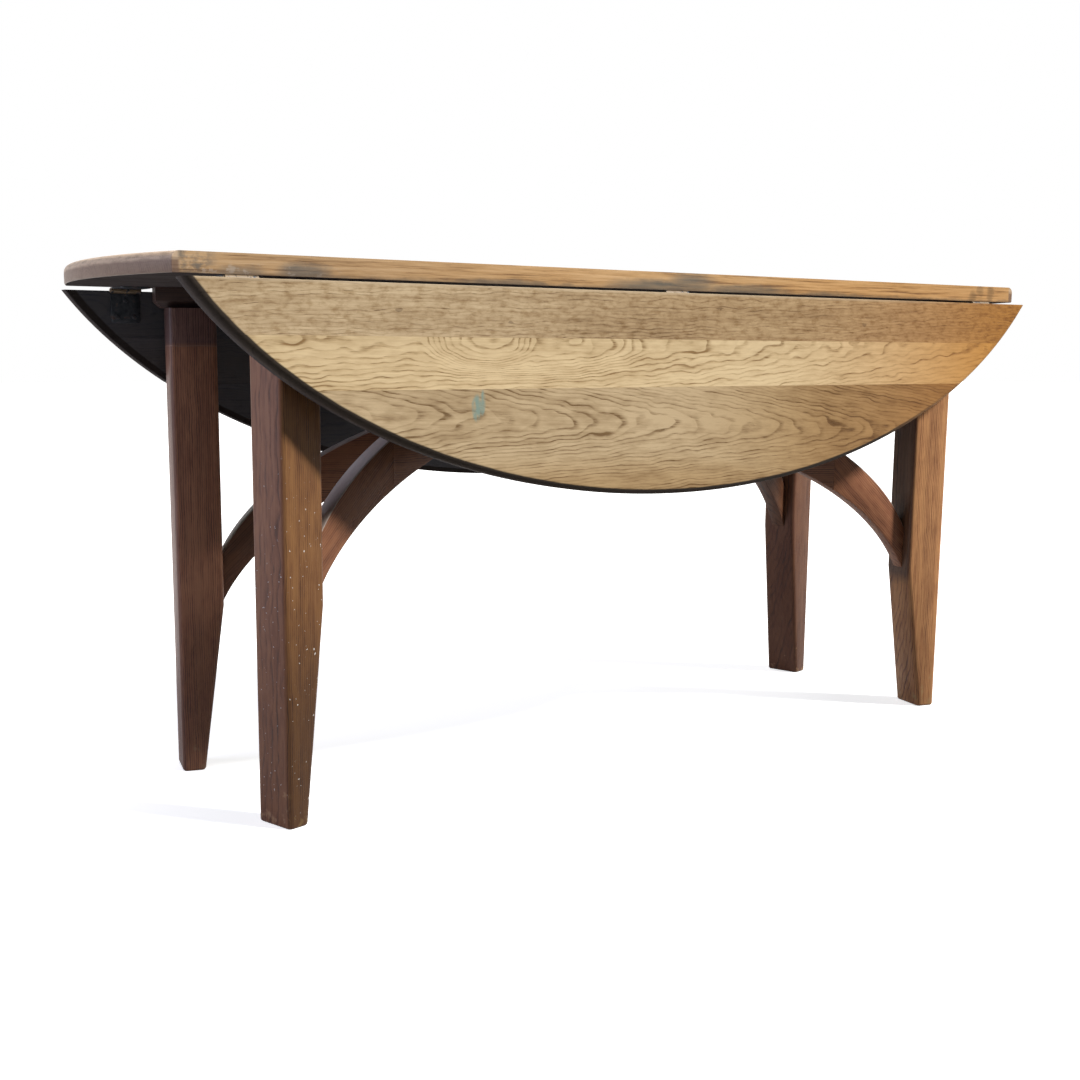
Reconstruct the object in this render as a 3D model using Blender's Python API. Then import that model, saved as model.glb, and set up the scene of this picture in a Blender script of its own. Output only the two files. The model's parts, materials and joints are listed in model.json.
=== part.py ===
"""Oval drop-leaf dining table on two crossed, arched leg frames.

Lengths are metres, +Z is up, the floor is z = 0 and the Z axis is the centre of the table.
X runs along the hinge lines. The leaves hang, as they do when the table is put away.
"""

import math

import bmesh
import bpy
from mathutils import Matrix, Vector

# Table top: two leaves cut from an oval, and a fixed middle with flatter ends
TABLE_HEIGHT = 0.740
TOP_THICKNESS = 0.026
OVAL_LENGTH = 1.706
OVAL_WIDTH = 0.996
FIXED_TOP_WIDTH = 0.410
TOP_END_BULGE = 0.038
LEAF_JOINT_GAP = 0.001
EDGE_ROUND = 0.010
EDGE_ROUND_STEPS = 3
LOWER_ARRIS = 0.002
INNER_BOARD_WIDTH = 0.067
MIDDLE_BOARD_WIDTH = 0.068
TOP_BOARD_COUNT = 3
LEAF_CURVE_STEPS = 40
END_CURVE_STEPS = 12

# Backflap hinges, three along each leaf
HINGE_WIDTH = 0.044
HINGE_END_INSET = 0.0654
FLAP_LENGTH = 0.046
FLAP_THICKNESS = 0.0022
KNUCKLE_RADIUS = 0.004
KNUCKLE_COUNT = 3
KNUCKLE_SIDES = 12
HINGE_PIN_RADIUS = 0.0016
HINGE_PIN_HEAD = 0.0008
SCREW_HEAD_RADIUS = 0.0038
SCREW_HEAD_RISE = 0.0004
SCREW_SHANK_RADIUS = 0.0018
SCREW_LENGTH = 0.018
SCREW_SIDES = 8
SCREW_EDGE_INSET = 0.009

# Crossed frames: a rail under the top, a leg at each end and an arch between the legs
LEG_DEPTH = 0.068
LEG_WIDTH = 0.065
FOOT_DEPTH = 0.034
LEG_CHAMFER = 0.004
LEG_INSET = 0.0075
RAIL_DEPTH = 0.029
RAIL_WIDTH = 0.044
RAIL_CHAMFER = 0.009
RAIL_OVERHANG = 0.0163
RAIL_HINGE_GAP = 0.002
ARCH_DEPTH = 0.073
ARCH_THICKNESS = 0.026
ARCH_DROP = 0.093
ARCH_RISE = 0.330
ARCH_SPRING = 0.020
ARCH_STAGGER = 0.043
ARCH_ARRIS = 0.002
ARCH_STEPS = 21
BRACE_LENGTH = 0.146
BRACE_STEPS = 12
TENON_LENGTH = 0.030
TENON_ROOT = 0.002
TENON_THICKNESS = 0.012
TENON_HEIGHT = 0.036
DOWEL_RADIUS = 0.005
DOWEL_IN_RAIL = 0.015
DOWEL_IN_LEG = 0.026
DOWEL_SPACING = 0.032
LAP_PLAY = 0.001

# Pivots on the centre line
PIVOT_RADIUS = 0.005
PIVOT_IN_TOP = 0.015
PIVOT_HEAD_RADIUS = 0.0092
PIVOT_HEAD_HEIGHT = 0.0064
PIVOT_END = 0.003
WASHER_RADIUS = 0.012
WASHER_THICKNESS = 0.002
NUT_HEIGHT = 0.008
ROUND_SIDES = 16
HEX_SIDES = 6

# Clearances
SEAT = 0.0003
BORE_PLAY = 0.0003
KNUCKLE_PLAY = 0.0004
HOLE_END_PLAY = 0.001
OVERCUT = 0.05

# Faces that meet at less than this angle are shaded as one round surface
SMOOTH_ANGLE = math.radians(35)

# Finishes: colour, roughness, metallic
LEAF_OAK = ((0.52, 0.34, 0.17), 0.55, 0.0)
TOP_OAK = ((0.40, 0.22, 0.10), 0.50, 0.0)
FRAME_OAK = ((0.17, 0.075, 0.035), 0.55, 0.0)
DARK_STEEL = ((0.03, 0.035, 0.04), 0.50, 0.9)
BOLT_STEEL = ((0.25, 0.25, 0.26), 0.40, 1.0)

# Places worked out from the sizes above
SEMI_LENGTH = OVAL_LENGTH / 2
SEMI_WIDTH = OVAL_WIDTH / 2
HALF_TOP = FIXED_TOP_WIDTH / 2
UNDERSIDE = TABLE_HEIGHT - TOP_THICKNESS
PIN_DROP = SEAT + KNUCKLE_RADIUS
PIN_Y = HALF_TOP + LEAF_JOINT_GAP / 2
PIN_Z = UNDERSIDE - PIN_DROP
LEAF_EDGE = LEAF_JOINT_GAP / 2
HINGE_LINE_END = SEMI_LENGTH * math.sqrt(1 - (HALF_TOP / SEMI_WIDTH) ** 2)
HINGE_X = HINGE_LINE_END - HINGE_END_INSET - HINGE_WIDTH / 2
RAIL_LIMIT_X = HINGE_X - HINGE_WIDTH / 2 - RAIL_HINGE_GAP
LEG_LIMIT_Y = HALF_TOP - LEG_INSET
RAIL_TOP = UNDERSIDE - SEAT
RAIL_BOTTOM = RAIL_TOP - RAIL_DEPTH
LEG_TOP = RAIL_BOTTOM - SEAT
ARCH_TOP = RAIL_BOTTOM - ARCH_DROP
ARCH_APEX = ARCH_TOP - ARCH_DEPTH


def frame_layout(rounds=20):
    """Reach of the legs' outer faces and splay of the frames.

    The rail ends stop short of the hinges, and the legs' corners stop short of the leaves.
    """
    splay = 0.0
    for _ in range(rounds):
        rail_reach = (RAIL_LIMIT_X - RAIL_WIDTH / 2 * math.sin(splay)) / math.cos(splay)
        reach = rail_reach - RAIL_OVERHANG
        corner = math.hypot(reach, LEG_WIDTH / 2)
        splay = math.asin(LEG_LIMIT_Y / corner) - math.atan2(LEG_WIDTH / 2, reach)
    return reach, splay


LEG_REACH, SPLAY = frame_layout()
RAIL_REACH = LEG_REACH + RAIL_OVERHANG
LEG_INNER = LEG_REACH - LEG_DEPTH
ARCH_JOINT = LEG_INNER - BRACE_LENGTH
ARCH_HALF_SPAN = LEG_INNER + ARCH_SPRING
ARCH_FLAT = ARCH_HALF_SPAN * math.sin(math.asin(ARCH_JOINT / ARCH_HALF_SPAN) / ARCH_STEPS)
LIFTS = {"upper": ARCH_STAGGER / 2, "lower": -ARCH_STAGGER / 2}
FRAME_OF = {"front_left": "upper", "back_right": "upper", "front_right": "lower", "back_left": "lower"}


def clear_scene():
    for obj in list(bpy.data.objects):
        bpy.data.objects.remove(obj, do_unlink=True)


def finish_material(name, finish):
    colour, roughness, metallic = finish
    material = bpy.data.materials.new(name + "_finish")
    material.use_nodes = True
    shader = material.node_tree.nodes["Principled BSDF"]
    shader.inputs["Base Color"].default_value = (*colour, 1.0)
    shader.inputs["Roughness"].default_value = roughness
    shader.inputs["Metallic"].default_value = metallic
    return material


def add_object(name, mesh, finish, parent=None):
    """A named piece with its own mesh and finish."""
    own_mesh = mesh.copy()
    own_mesh.name = name
    own_mesh.materials.clear()
    own_mesh.materials.append(finish_material(name, finish))
    own_mesh.shade_smooth()
    own_mesh.set_sharp_from_angle(angle=SMOOTH_ANGLE)
    obj = bpy.data.objects.new(name, own_mesh)
    bpy.context.scene.collection.objects.link(obj)
    obj.parent = parent
    return obj


def add_empty(name, location, rotation):
    empty = bpy.data.objects.new(name, None)
    empty.location = location
    empty.rotation_euler = rotation
    bpy.context.scene.collection.objects.link(empty)
    return empty


def mesh_from(bm, name):
    bmesh.ops.recalc_face_normals(bm, faces=bm.faces)
    mesh = bpy.data.meshes.new(name)
    bm.to_mesh(mesh)
    bm.free()
    return mesh


def box(low, high):
    """A mesh box between two corners."""
    size = Vector(high) - Vector(low)
    middle = (Vector(high) + Vector(low)) / 2
    bm = bmesh.new()
    bmesh.ops.create_cube(bm, size=1.0, matrix=Matrix.Translation(middle) @ Matrix.Diagonal((*size, 1.0)))
    return mesh_from(bm, "box")


def prism_bmesh(outline, along):
    """A closed outline of points, swept along a vector."""
    bm = bmesh.new()
    face = bm.faces.new([bm.verts.new(point) for point in outline])
    swept = bmesh.ops.extrude_face_region(bm, geom=[face])
    moved = [item for item in swept["geom"] if isinstance(item, bmesh.types.BMVert)]
    bmesh.ops.translate(bm, verts=moved, vec=along)
    bmesh.ops.recalc_face_normals(bm, faces=bm.faces)
    return bm


def bevel_edges(bm, edges, width, steps):
    bmesh.ops.bevel(bm, geom=edges, offset=width, offset_type="OFFSET", segments=steps,
                    profile=0.5, affect="EDGES", clamp_overlap=False)


def turned(profile, sides, matrix=Matrix.Identity(4)):
    """A solid of revolution round Z, from (radius, z) pairs that start and end on the axis."""
    bm = bmesh.new()
    turn = 2 * math.pi / sides
    rings = []
    for radius, z in profile[1:-1]:
        rings.append([bm.verts.new((radius * math.cos(i * turn), radius * math.sin(i * turn), z))
                      for i in range(sides)])
    for ring, following in zip(rings, rings[1:]):
        for i in range(sides):
            j = (i + 1) % sides
            bm.faces.new((ring[i], ring[j], following[j], following[i]))
    bm.faces.new(rings[0])
    bm.faces.new(rings[-1])
    bm.transform(matrix)
    return mesh_from(bm, "turned")


def rod(radius, start, end, sides=ROUND_SIDES, matrix=Matrix.Identity(4)):
    """A round or hexagonal bar along Z."""
    return turned([(0, end), (radius, end), (radius, start), (0, start)], sides, matrix)


def joined(meshes):
    """Several meshes in one, still as separate bodies."""
    bm = bmesh.new()
    for mesh in meshes:
        bm.from_mesh(mesh)
    return mesh_from(bm, "joined")


def carve(mesh, tool, operation="DIFFERENCE"):
    """The mesh after one exact Boolean with a tool mesh."""
    body = bpy.data.objects.new("body", mesh)
    cutter = bpy.data.objects.new("cutter", tool)
    cutter.hide_render = True
    cutter.display_type = "WIRE"
    for obj in (body, cutter):
        bpy.context.scene.collection.objects.link(obj)
    modifier = body.modifiers.new("carve", "BOOLEAN")
    modifier.operation = operation
    modifier.object = cutter
    modifier.solver = "EXACT"
    modifier.use_hole_tolerant = True
    evaluated = body.evaluated_get(bpy.context.evaluated_depsgraph_get())
    result = bpy.data.meshes.new_from_object(evaluated)
    for obj in (body, cutter):
        bpy.data.objects.remove(obj, do_unlink=True)
    return result


def leaf_curve(start, end, steps):
    """Points on the oval, with the Y origin on the hinge pin."""
    points = []
    for i in range(steps + 1):
        angle = start + (end - start) * i / steps
        points.append(Vector((SEMI_LENGTH * math.cos(angle), SEMI_WIDTH * math.sin(angle) - PIN_Y, 0)))
    return points


def end_curve(steps):
    """The +X end of the fixed top, a circle through the ends of both hinge lines."""
    radius = (HALF_TOP ** 2 + TOP_END_BULGE ** 2) / (2 * TOP_END_BULGE)
    centre = HINGE_LINE_END + TOP_END_BULGE - radius
    spread = math.asin(HALF_TOP / radius)
    angles = [spread * (2 * i / steps - 1) for i in range(steps + 1)]
    return [Vector((centre + radius * math.cos(angle), radius * math.sin(angle), 0)) for angle in angles]


def rounded_slab(outline, base_z, straight_y):
    """A slab whose edges are rounded on the curve and left square on the hinge lines."""
    bottom = [point + Vector((0, 0, base_z)) for point in outline]
    bm = prism_bmesh(bottom, Vector((0, 0, TOP_THICKNESS)))

    def on_curve(edge, z):
        level = all(abs(vert.co.z - z) < SEAT for vert in edge.verts)
        along_hinge = any(all(abs(vert.co.y - y) < SEAT for vert in edge.verts) for y in straight_y)
        return level and not along_hinge

    upper = [edge for edge in bm.edges if on_curve(edge, base_z + TOP_THICKNESS)]
    bevel_edges(bm, upper, EDGE_ROUND, EDGE_ROUND_STEPS)
    lower = [edge for edge in bm.edges if on_curve(edge, base_z)]
    bevel_edges(bm, lower, LOWER_ARRIS, 1)
    return mesh_from(bm, "slab")


def strip(slab, low_y, high_y, base_z):
    """The board that lies between two Y values of a slab."""
    reach = SEMI_LENGTH + OVERCUT
    tool = box((-reach, low_y, base_z - OVERCUT), (reach, high_y, base_z + TOP_THICKNESS + OVERCUT))
    return carve(slab.copy(), tool, "INTERSECT")


def screw_places():
    """Screw positions on one flap: two at the free edge and one near the knuckles."""
    far = FLAP_LENGTH - SCREW_EDGE_INSET
    near = KNUCKLE_RADIUS + KNUCKLE_PLAY + SCREW_EDGE_INSET
    side = HINGE_WIDTH / 2 - SCREW_EDGE_INSET
    return [(-side, far), (side, far), (0.0, near)]


def hinge_places():
    return [-HINGE_X, 0.0, HINGE_X]


def screw_holes(outward):
    """Pilot holes for the three flaps on one side of a hinge line, up into the wood."""
    radius = SCREW_SHANK_RADIUS + BORE_PLAY
    end = KNUCKLE_RADIUS - FLAP_THICKNESS + SCREW_LENGTH + HOLE_END_PLAY
    holes = []
    for centre in hinge_places():
        for x, y in screw_places():
            place = Matrix.Translation((centre + x, outward * y, 0))
            holes.append(rod(radius, KNUCKLE_RADIUS, end, SCREW_SIDES, place))
    return joined(holes)


def flap_mesh(outward, own_knuckles):
    """One hinge flap and its three screws, with the pin's axis on X and the plate out along Y."""
    top = KNUCKLE_RADIUS
    bottom = top - FLAP_THICKNESS
    notch = KNUCKLE_RADIUS + KNUCKLE_PLAY
    pitch = HINGE_WIDTH / KNUCKLE_COUNT
    plate_y = sorted((outward * notch, outward * FLAP_LENGTH))
    half = HINGE_WIDTH / 2
    flap = box((-half, plate_y[0], bottom), (half, plate_y[1], top))
    along_x = Matrix.Rotation(math.pi / 2, 4, "Y")
    bores = []
    for index in own_knuckles:
        start = -half + index * pitch + KNUCKLE_PLAY / 2
        end = start + pitch - KNUCKLE_PLAY
        neck_y = sorted((0.0, outward * (notch + FLAP_THICKNESS)))
        neck = box((start, neck_y[0], bottom), (end, neck_y[1], top))
        barrel = rod(KNUCKLE_RADIUS, start, end, KNUCKLE_SIDES, along_x)
        flap = carve(carve(flap, neck, "UNION"), barrel, "UNION")
        bore_radius = HINGE_PIN_RADIUS + BORE_PLAY
        bores.append(rod(bore_radius, start - OVERCUT, end + OVERCUT, KNUCKLE_SIDES, along_x))
    for bore in bores:
        flap = carve(flap, bore)
    for x, y in screw_places():
        place = Matrix.Translation((x, outward * y, bottom))
        profile = [(0, -SCREW_HEAD_RISE), (SCREW_HEAD_RADIUS, -SCREW_HEAD_RISE),
                   (SCREW_HEAD_RADIUS, FLAP_THICKNESS / 2), (SCREW_SHANK_RADIUS, FLAP_THICKNESS / 2),
                   (SCREW_SHANK_RADIUS, SCREW_LENGTH), (0, SCREW_LENGTH)]
        flap = carve(flap, turned(profile, SCREW_SIDES, place), "UNION")
    return flap


def hinge_pin_mesh():
    half = HINGE_WIDTH / 2 + KNUCKLE_PLAY
    head = HINGE_PIN_RADIUS + HINGE_PIN_HEAD
    profile = [(0, half + HINGE_PIN_HEAD), (head, half + HINGE_PIN_HEAD), (head, half),
               (HINGE_PIN_RADIUS, half), (HINGE_PIN_RADIUS, -half), (head, -half),
               (head, -half - HINGE_PIN_HEAD), (0, -half - HINGE_PIN_HEAD)]
    return turned(profile, KNUCKLE_SIDES, Matrix.Rotation(math.pi / 2, 4, "Y"))


def arch_height(u, lift):
    """Height of an arch's lower curve at a distance from the centre: half an ellipse."""
    return ARCH_APEX + lift - ARCH_RISE * (1 - math.sqrt(1 - (u / ARCH_HALF_SPAN) ** 2))


def arch_bar(start, end, steps, lift):
    """Part of an arch between two distances from the centre, with eased arrises."""
    first = math.asin(start / ARCH_HALF_SPAN)
    last = math.asin(end / ARCH_HALF_SPAN)
    stations = [ARCH_HALF_SPAN * math.sin(first + (last - first) * i / steps) for i in range(steps + 1)]
    low = [Vector((u, -ARCH_THICKNESS / 2, arch_height(u, lift))) for u in stations]
    high = [point + Vector((0, 0, ARCH_DEPTH)) for point in low]
    bm = prism_bmesh(low + high[::-1], Vector((0, ARCH_THICKNESS, 0)))
    side = ARCH_THICKNESS / 2 - SEAT
    arrises = []
    for edge in bm.edges:
        a, b = (vert.co for vert in edge.verts)
        if a.y * b.y > side ** 2 and abs(a.x - b.x) > SEAT:
            arrises.append(edge)
    bevel_edges(bm, arrises, ARCH_ARRIS, 1)
    return mesh_from(bm, "arch")


def lap_length(thickness):
    """How long a lap has to be for the other frame's bar to cross it."""
    crossing = 2 * SPLAY
    return thickness / math.sin(crossing) + thickness / math.tan(crossing) + 2 * LAP_PLAY


def lap(mesh, thickness, middle, keep_upper):
    """Take what is above or below a middle height away where the other frame crosses a bar."""
    half = lap_length(thickness) / 2
    wide = thickness / 2 + OVERCUT
    if keep_upper:
        tool = box((-half, -wide, middle - OVERCUT), (half, wide, middle + SEAT / 2))
    else:
        tool = box((-half, -wide, middle - SEAT / 2), (half, wide, middle + OVERCUT))
    return carve(mesh, tool)


def dowel_places():
    centre = LEG_REACH - LEG_DEPTH / 2
    return [centre - DOWEL_SPACING / 2, centre + DOWEL_SPACING / 2]


def leg_mesh(lift):
    """A leg on the +X end of a frame: plumb outside, and tapered inside below the brace."""
    foot_inner = LEG_REACH - FOOT_DEPTH
    brace_foot = arch_height(LEG_INNER, lift)
    outer_side = [(LEG_REACH, 0), (LEG_REACH, LEG_TOP)]
    inner_side = [(LEG_INNER, LEG_TOP), (LEG_INNER, brace_foot), (foot_inner, 0)]
    outline = [Vector((u, -LEG_WIDTH / 2, z)) for u, z in outer_side + inner_side]
    bm = prism_bmesh(outline, Vector((0, LEG_WIDTH, 0)))
    arrises = []
    for edge in bm.edges:
        a, b = (vert.co for vert in edge.verts)
        if abs(a.z - b.z) > SEAT:
            arrises.append(edge)
    bevel_edges(bm, arrises, LEG_CHAMFER, 1)
    leg = mesh_from(bm, "leg")
    leg = carve(leg, tenon_box(lift, SEAT))
    hole_end = LEG_TOP - DOWEL_IN_LEG - HOLE_END_PLAY
    for u in dowel_places():
        place = Matrix.Translation((u, 0, 0))
        leg = carve(leg, rod(DOWEL_RADIUS + BORE_PLAY, hole_end, LEG_TOP + OVERCUT, matrix=place))
    return leg


def tenon_box(lift, play=0.0):
    """The brace's tenon, or with play the mortise that takes it."""
    middle = arch_height(LEG_INNER, lift) + ARCH_DEPTH / 2
    half_height = TENON_HEIGHT / 2 + play
    half_width = TENON_THICKNESS / 2 + play
    end = LEG_INNER + TENON_LENGTH + (HOLE_END_PLAY if play else 0.0)
    root = LEG_INNER - TENON_ROOT
    return box((root, -half_width, middle - half_height), (end, half_width, middle + half_height))


def brace_mesh(lift):
    """The lower end of an arch, from its joint to the leg, with a tenon into the leg."""
    brace = arch_bar(ARCH_JOINT + SEAT / 2, LEG_INNER - SEAT, BRACE_STEPS, lift)
    return carve(brace, tenon_box(lift), "UNION")


def centre_arch_mesh(keep_upper, lift):
    """The middle of an arch. The upper arch lies over the lower one, and both are notched to lock."""
    end = ARCH_JOINT - SEAT / 2
    arch = arch_bar(-end, end, ARCH_STEPS, lift)
    middle = ARCH_APEX + ARCH_DEPTH / 2
    arch = lap(arch, ARCH_THICKNESS, middle, keep_upper)
    bore_reach = ARCH_STAGGER + OVERCUT
    return carve(arch, rod(PIVOT_RADIUS + BORE_PLAY, ARCH_APEX - bore_reach, ARCH_TOP + bore_reach))


def rail_mesh(keep_upper):
    bm = bmesh.new()
    bm.from_mesh(box((-RAIL_REACH, -RAIL_WIDTH / 2, RAIL_BOTTOM), (RAIL_REACH, RAIL_WIDTH / 2, RAIL_TOP)))
    lower = [edge for edge in bm.edges if all(vert.co.z < RAIL_BOTTOM + SEAT for vert in edge.verts)]
    bevel_edges(bm, lower, RAIL_CHAMFER, 1)
    rail = lap(mesh_from(bm, "rail"), RAIL_WIDTH, (RAIL_TOP + RAIL_BOTTOM) / 2, keep_upper)
    rail = carve(rail, rod(PIVOT_RADIUS + BORE_PLAY, RAIL_BOTTOM - OVERCUT, RAIL_TOP + OVERCUT))
    for u in dowel_places():
        for end in (-1, 1):
            place = Matrix.Translation((end * u, 0, 0))
            rail = carve(rail, rod(DOWEL_RADIUS + BORE_PLAY, RAIL_BOTTOM - OVERCUT,
                                   RAIL_BOTTOM + DOWEL_IN_RAIL + HOLE_END_PLAY, matrix=place))
    return rail


def leg_azimuths():
    return {
        "front_left": math.pi + SPLAY,
        "back_right": SPLAY,
        "back_left": math.pi - SPLAY,
        "front_right": -SPLAY,
    }


def washer(low):
    ring = rod(WASHER_RADIUS, low, low + WASHER_THICKNESS)
    return carve(ring, rod(PIVOT_RADIUS + BORE_PLAY, low - OVERCUT, low + OVERCUT))


def headed_bolt(shank_low, shank_high, head_low):
    """A hexagon-headed bolt along Z with its head at one end of the shank."""
    head = rod(PIVOT_HEAD_RADIUS, head_low, head_low + PIVOT_HEAD_HEIGHT, HEX_SIDES)
    return carve(rod(PIVOT_RADIUS, shank_low, shank_high), head, "UNION")


def build_fixed_top():
    right_end = end_curve(END_CURVE_STEPS)
    left_end = [-point for point in right_end]
    slab = rounded_slab(right_end + left_end, UNDERSIDE, (-HALF_TOP, HALF_TOP))
    width = FIXED_TOP_WIDTH / TOP_BOARD_COUNT
    for index in range(TOP_BOARD_COUNT):
        first = index == 0
        last = index == TOP_BOARD_COUNT - 1
        low = -HALF_TOP + index * width + (-OVERCUT if first else SEAT / 2)
        high = -HALF_TOP + (index + 1) * width + (OVERCUT if last else -SEAT / 2)
        board = strip(slab, low, high, UNDERSIDE)
        if first or last:
            turn = Matrix.Translation((0, -PIN_Y if first else PIN_Y, PIN_Z))
            turn = turn @ Matrix.Rotation(math.pi if first else 0.0, 4, "Z")
            holes = screw_holes(-1)
            holes.transform(turn)
            board = carve(board, holes)
        else:
            board = carve(board, rod(PIVOT_RADIUS + BORE_PLAY, UNDERSIDE - OVERCUT,
                                     UNDERSIDE + PIVOT_IN_TOP + HOLE_END_PLAY))
        name = "front" if first else "back" if last else "centre"
        add_object("fixed_top_" + name + "_board", board, TOP_OAK)


def leaf_boards():
    """The three boards of a leaf, raised, with the hinge pin's axis on X."""
    start = math.asin((PIN_Y + LEAF_EDGE) / SEMI_WIDTH)
    outline = leaf_curve(start, math.pi - start, LEAF_CURVE_STEPS)
    slab = rounded_slab(outline, PIN_DROP, (LEAF_EDGE,))
    first_seam = LEAF_EDGE + INNER_BOARD_WIDTH
    second_seam = first_seam + MIDDLE_BOARD_WIDTH
    inner = strip(slab, LEAF_EDGE - OVERCUT, first_seam - SEAT / 2, PIN_DROP)
    middle = strip(slab, first_seam + SEAT / 2, second_seam - SEAT / 2, PIN_DROP)
    outer = strip(slab, second_seam + SEAT / 2, SEMI_WIDTH, PIN_DROP)
    inner = carve(inner, screw_holes(1))
    return {"inner": inner, "middle": middle, "outer": outer}


def build_leaves_and_hinges():
    boards = leaf_boards()
    top_flap = flap_mesh(-1, range(0, KNUCKLE_COUNT, 2))
    leaf_flap = flap_mesh(1, range(1, KNUCKLE_COUNT, 2))
    pin = hinge_pin_mesh()
    for side, turn in (("front", math.pi), ("back", 0.0)):
        place = (0, PIN_Y if side == "back" else -PIN_Y, PIN_Z)
        fixed = add_empty(side + "_hinge_line", place, (0, 0, turn))
        hanging = add_empty(side + "_leaf_axis", place, (-math.pi / 2, 0, turn))
        for name, board in boards.items():
            add_object(side + "_leaf_" + name + "_board", board, LEAF_OAK, hanging)
        names = ["left", "middle", "right"] if side == "back" else ["right", "middle", "left"]
        for name, x in zip(names, hinge_places()):
            hinge = side + "_" + name + "_hinge"
            for part, mesh, parent in (("top_flap", top_flap, fixed), ("leaf_flap", leaf_flap, hanging),
                                       ("pin", pin, fixed)):
                piece = add_object(hinge + "_" + part, mesh, DARK_STEEL, parent)
                piece.location.x = x


def build_frames():
    legs = {name: leg_mesh(lift) for name, lift in LIFTS.items()}
    braces = {name: brace_mesh(lift) for name, lift in LIFTS.items()}
    for corner, azimuth in leg_azimuths().items():
        pieces = [add_object(corner + "_leg", legs[FRAME_OF[corner]], FRAME_OAK)]
        pieces.append(add_object(corner + "_brace", braces[FRAME_OF[corner]], FRAME_OAK))
        for place, u in zip(("inner", "outer"), dowel_places()):
            dowel = rod(DOWEL_RADIUS, LEG_TOP - DOWEL_IN_LEG, RAIL_BOTTOM + DOWEL_IN_RAIL,
                        matrix=Matrix.Translation((u, 0, 0)))
            pieces.append(add_object(corner + "_" + place + "_dowel", dowel, LEAF_OAK))
        for piece in pieces:
            piece.rotation_euler.z = azimuth
    for name, azimuth, keep_upper in (("upper", SPLAY, True), ("lower", -SPLAY, False)):
        arch = centre_arch_mesh(keep_upper, LIFTS[name])
        for part, mesh in (("rail", rail_mesh(keep_upper)), ("centre_arch", arch)):
            piece = add_object(name + "_" + part, mesh, FRAME_OAK)
            piece.rotation_euler.z = azimuth


def build_pivots():
    washer_low = RAIL_BOTTOM - SEAT - WASHER_THICKNESS
    head_low = washer_low - SEAT - PIVOT_HEAD_HEIGHT
    add_object("top_pivot_washer", washer(washer_low), BOLT_STEEL)
    add_object("top_pivot_bolt", headed_bolt(head_low, UNDERSIDE + PIVOT_IN_TOP, head_low), BOLT_STEEL)
    arch_low = arch_height(ARCH_FLAT, LIFTS["lower"])
    arch_high = arch_height(ARCH_FLAT, LIFTS["upper"]) + ARCH_DEPTH
    upper_washer = arch_high + SEAT
    lower_washer = arch_low - SEAT - WASHER_THICKNESS
    nut_low = lower_washer - SEAT - NUT_HEIGHT
    bolt_head = upper_washer + WASHER_THICKNESS + SEAT
    add_object("arch_pivot_upper_washer", washer(upper_washer), BOLT_STEEL)
    add_object("arch_pivot_lower_washer", washer(lower_washer), BOLT_STEEL)
    arch_bolt = headed_bolt(nut_low - PIVOT_END, bolt_head + PIVOT_HEAD_HEIGHT, bolt_head)
    add_object("arch_pivot_bolt", arch_bolt, BOLT_STEEL)
    nut = rod(PIVOT_HEAD_RADIUS, nut_low, nut_low + NUT_HEIGHT, HEX_SIDES)
    nut = carve(nut, rod(PIVOT_RADIUS + BORE_PLAY, nut_low - OVERCUT, nut_low + OVERCUT))
    add_object("arch_pivot_nut", nut, BOLT_STEEL)


clear_scene()
build_fixed_top()
build_leaves_and_hinges()
build_frames()
build_pivots()
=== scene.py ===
# %% [markdown]
# # An oval oak drop-leaf table
# The table stands with both leaves down. What Blender starts with is cleared away, and the table's solids
# are loaded at their real size, in metres, where they stay. This lesson models a finer piece over each
# solid that shows, the way a joiner would make it, and gives every piece its finish. The finishes come
# first, so that each piece can be finished as soon as it is made.

# %% Load the solids
import json
import math

import bmesh
import bpy
from mathutils import Matrix, Vector

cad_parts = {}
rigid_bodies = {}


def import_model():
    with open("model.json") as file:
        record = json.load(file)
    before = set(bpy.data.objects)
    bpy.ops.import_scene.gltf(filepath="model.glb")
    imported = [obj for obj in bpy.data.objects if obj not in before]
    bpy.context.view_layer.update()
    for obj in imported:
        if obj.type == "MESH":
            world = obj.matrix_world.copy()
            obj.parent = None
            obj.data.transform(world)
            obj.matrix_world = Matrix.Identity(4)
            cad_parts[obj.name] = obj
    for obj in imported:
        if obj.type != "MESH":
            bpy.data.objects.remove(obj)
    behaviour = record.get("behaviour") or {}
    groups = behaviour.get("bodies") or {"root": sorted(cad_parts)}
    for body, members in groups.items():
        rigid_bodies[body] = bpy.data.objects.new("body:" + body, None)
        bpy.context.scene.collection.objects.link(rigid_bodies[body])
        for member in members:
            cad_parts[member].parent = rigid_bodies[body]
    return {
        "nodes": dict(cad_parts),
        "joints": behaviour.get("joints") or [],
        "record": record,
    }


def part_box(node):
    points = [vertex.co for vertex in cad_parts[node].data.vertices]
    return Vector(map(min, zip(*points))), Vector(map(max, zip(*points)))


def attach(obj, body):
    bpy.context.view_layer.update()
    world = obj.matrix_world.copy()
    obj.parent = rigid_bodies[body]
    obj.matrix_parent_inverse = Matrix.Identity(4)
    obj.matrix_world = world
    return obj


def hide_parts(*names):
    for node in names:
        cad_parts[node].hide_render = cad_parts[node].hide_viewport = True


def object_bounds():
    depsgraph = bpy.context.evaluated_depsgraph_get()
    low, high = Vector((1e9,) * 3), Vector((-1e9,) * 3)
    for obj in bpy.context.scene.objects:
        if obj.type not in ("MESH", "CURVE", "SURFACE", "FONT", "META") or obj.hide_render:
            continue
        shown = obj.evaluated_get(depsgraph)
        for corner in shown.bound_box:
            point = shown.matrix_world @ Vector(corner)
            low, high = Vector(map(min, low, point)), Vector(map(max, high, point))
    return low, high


for leftover in list(bpy.data.objects):
    bpy.data.objects.remove(leftover, do_unlink=True)
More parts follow.
